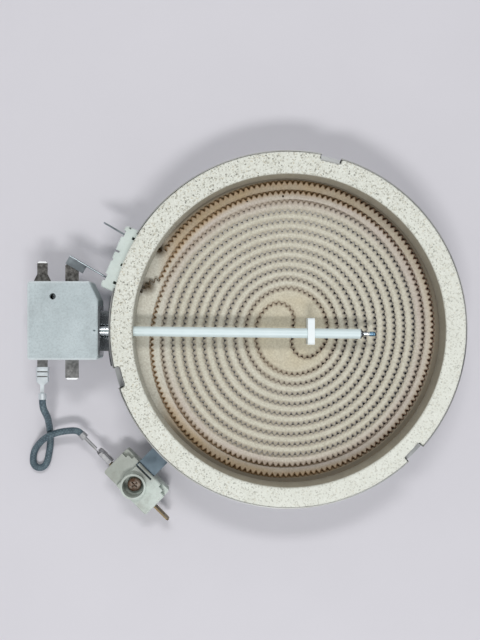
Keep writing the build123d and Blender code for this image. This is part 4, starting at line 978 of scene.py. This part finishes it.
# Finishes.
pan_finish = aluminised_steel()
base_finish = pressed_insulation()
ring_finish = vermiculite_board()
ribbon_finish = oxidised_ribbon("oxidised_ribbon", ("#85827d", "#a9a6a0"), ("#7d6347", "#a88a64"), 0.8)
tail_finish = oxidised_ribbon("sooted_ribbon", ("#4a3f31", "#7a6850"), ("#4a3f31", "#7a6850"), 0.0)
rod_finish = rod_ceramic("fired_cordierite", "#cfdfe0", "#e2eff0")
support_finish = rod_ceramic("glazed_steatite", "#e6f0f1", "#f8fcfc")
head_finish = steatite("steatite_grey", "#a9b5b7", "#c9d4d6", "#7b8080", 0.3, 0.35,
                       highlit_edges_of="limiter_cover")
block_finish = steatite("steatite_white", "#bfcbc5", "#dae3de", "#9a988a", 0.25, 0.15)
soiled_block_finish = steatite("steatite_soiled", "#b9c4bc", "#d8e1da", "#6f6a5c", 0.6, 0.2, darker_end=0.5)
bracket_finish = bare_metal("stainless_steel", "#8b8f92", "#c6cacc", 5, 0.14, 0.3)
hook_finish = bare_metal("zinc_plated_steel", "#525f68", "#76858e", 6, 0.3, 0.45)
rod_end_finish = bare_metal("bright_steel", "#aab0b4", "#dfe3e5", 3, 0.12, 0.25)
tip_finish = bare_metal("heat_blued_steel", "#38536a", "#7fa0b5", 2, 0.2, 0.35)
tab_finish = tarnished_nickel()
washer_finish = bare_metal("blackened_steel", "#4a4e52", "#7d8388", 2, 0.25, 0.4)
blade_finish = bare_metal("nickel_plated_steel", "#828b90", "#b3bcc0", 5, 0.25, 0.4, burnt_within=75.0)
spring_finish = bare_metal("spring_bronze", "#8a7048", "#b79a68", 5, 0.25, 0.4)
contact_finish = bare_metal("contact_silver", "#b9b7b0", "#e2e0da", 2, 0.2, 0.35)
brass_finish = bare_metal("tarnished_brass", "#564b3a", "#968666", 1.5, 0.35, 0.55)
screw_finish = rusted_steel()
tin_finish = bare_metal("tinned_brass", "#c9d2d5", "#eef3f5", 4, 0.42, 0.58)
dull_tin_finish = bare_metal("tinned_brass_dull", "#96969a", "#cbcbca", 3, 0.35, 0.5)
sleeve_finish = glass_braid()

# CAD nodes that show as they are.
FINISHES = [
    (pan_finish, ["pan"]),
    (base_finish, ["base_insulation"]),
    (rod_finish, ["limiter_tube", "plunger"]),
    (support_finish, ["rod_support"]),
    (rod_end_finish, ["limiter_rod", "adjusting_screw"]),
    (washer_finish, ["rod_end_washer"]),
    (tip_finish, ["rod_end_tip"]),
    (head_finish, ["limiter_base", "limiter_cover"]),
    (bracket_finish, ["limiter_bracket", "rod_collar", "bracket_rivet_upper", "bracket_rivet_lower"]),
    (hook_finish, ["connector_bracket", "connector_rivet_left", "connector_rivet_right"]),
    (tab_finish, ["power_tab_upper", "power_tab_lower", "signal_tab_upper", "signal_tab_lower"]),
    (blade_finish, ["supply_blade", "link_strip"]),
    (spring_finish, ["power_spring", "signal_spring"]),
    (contact_finish, ["power_contact_moving", "power_contact_fixed", "signal_contact_moving",
                      "signal_contact_fixed"]),
    (block_finish, ["terminal_block"]),
    (soiled_block_finish, ["connector_block"]),
    (brass_finish, ["connector_strip"]),
    (screw_finish, ["connector_screw"]),
    (dull_tin_finish, ["connector_receptacle"]),
]
for finish, names in FINISHES:
    for name in names:
        cad[name].data.materials.clear()
        cad[name].data.materials.append(finish)

# Pieces.
lead = make_lead()
receptacle = make_receptacle()
settle(receptacle, "tinned_brass", tin_finish, "limiter_receptacle")
settle(lead, "lead_sleeve", sleeve_finish, "signal_lead")
settle(make_ribbon(), "ribbon_alloy", ribbon_finish, "heating_ribbon")
settle(make_tail(), "ribbon_alloy", tail_finish)
for piece in make_fills():
    settle(piece, "base_fibre", base_finish)
settle(make_ring(), "vermiculite", ring_finish, "rim_ring")

# Floor.
deselect()
bpy.ops.mesh.primitive_plane_add(size=FLOOR_SIZE * MM, location=(0, 0, 0))
floor = bpy.context.object
floor.name = "floor"
floor_finish, floor_tree, floor_shader, floor_place = start("matt_paper")
paper = add(floor_tree, "TexNoise", {"Vector": floor_place, "Scale": per(40), "Detail": 3}).outputs[0]
tone = add(floor_tree, "Mix", {0: paper, 6: linear("#d3d1d6"), 7: linear("#d7d5da")}, **COLOURS)
wire(floor_tree, floor_shader, {"Base Color": tone.outputs[2], "Roughness": 0.8})
floor.data.materials.append(floor_finish)

# Lamps.
for name, side in (("lamp_low", -1), ("lamp_high", 1)):
    lamp_data = bpy.data.lights.new(name, "AREA")
    lamp_data.shape = "RECTANGLE"
    lamp_data.size = LAMP_SIZE[0] * MM
    lamp_data.size_y = LAMP_SIZE[1] * MM
    lamp_data.energy = LAMP_POWERS[name]
    lamp = bpy.data.objects.new(name, lamp_data)
    lamp.location = (CAMERA_PLACE[0] * MM, side * LAMP_LEAN * LAMP_HEIGHT * MM, LAMP_HEIGHT * MM)
    lamp.rotation_euler = (side * -math.atan(LAMP_LEAN), 0, 0)
    bpy.context.scene.collection.objects.link(lamp)

# Room light: dimmer straight above than towards the sides.
world = bpy.data.worlds.new("room")
world.use_nodes = True
bpy.context.scene.world = world
room = world.node_tree
sky = add(room, "TexCoord").outputs["Generated"]
up = add(room, "SeparateXYZ", {0: sky}).outputs[2]
ends = dict(enumerate(ROOM_HEIGHTS + ROOM_LEVELS, 1))
level = add(room, "MapRange", {0: up, **ends}).outputs[0]
wire(room, room.nodes["Background"], {"Color": linear("#f4f6fa"), "Strength": level})

bpy.context.scene.view_settings.view_transform = "Standard"
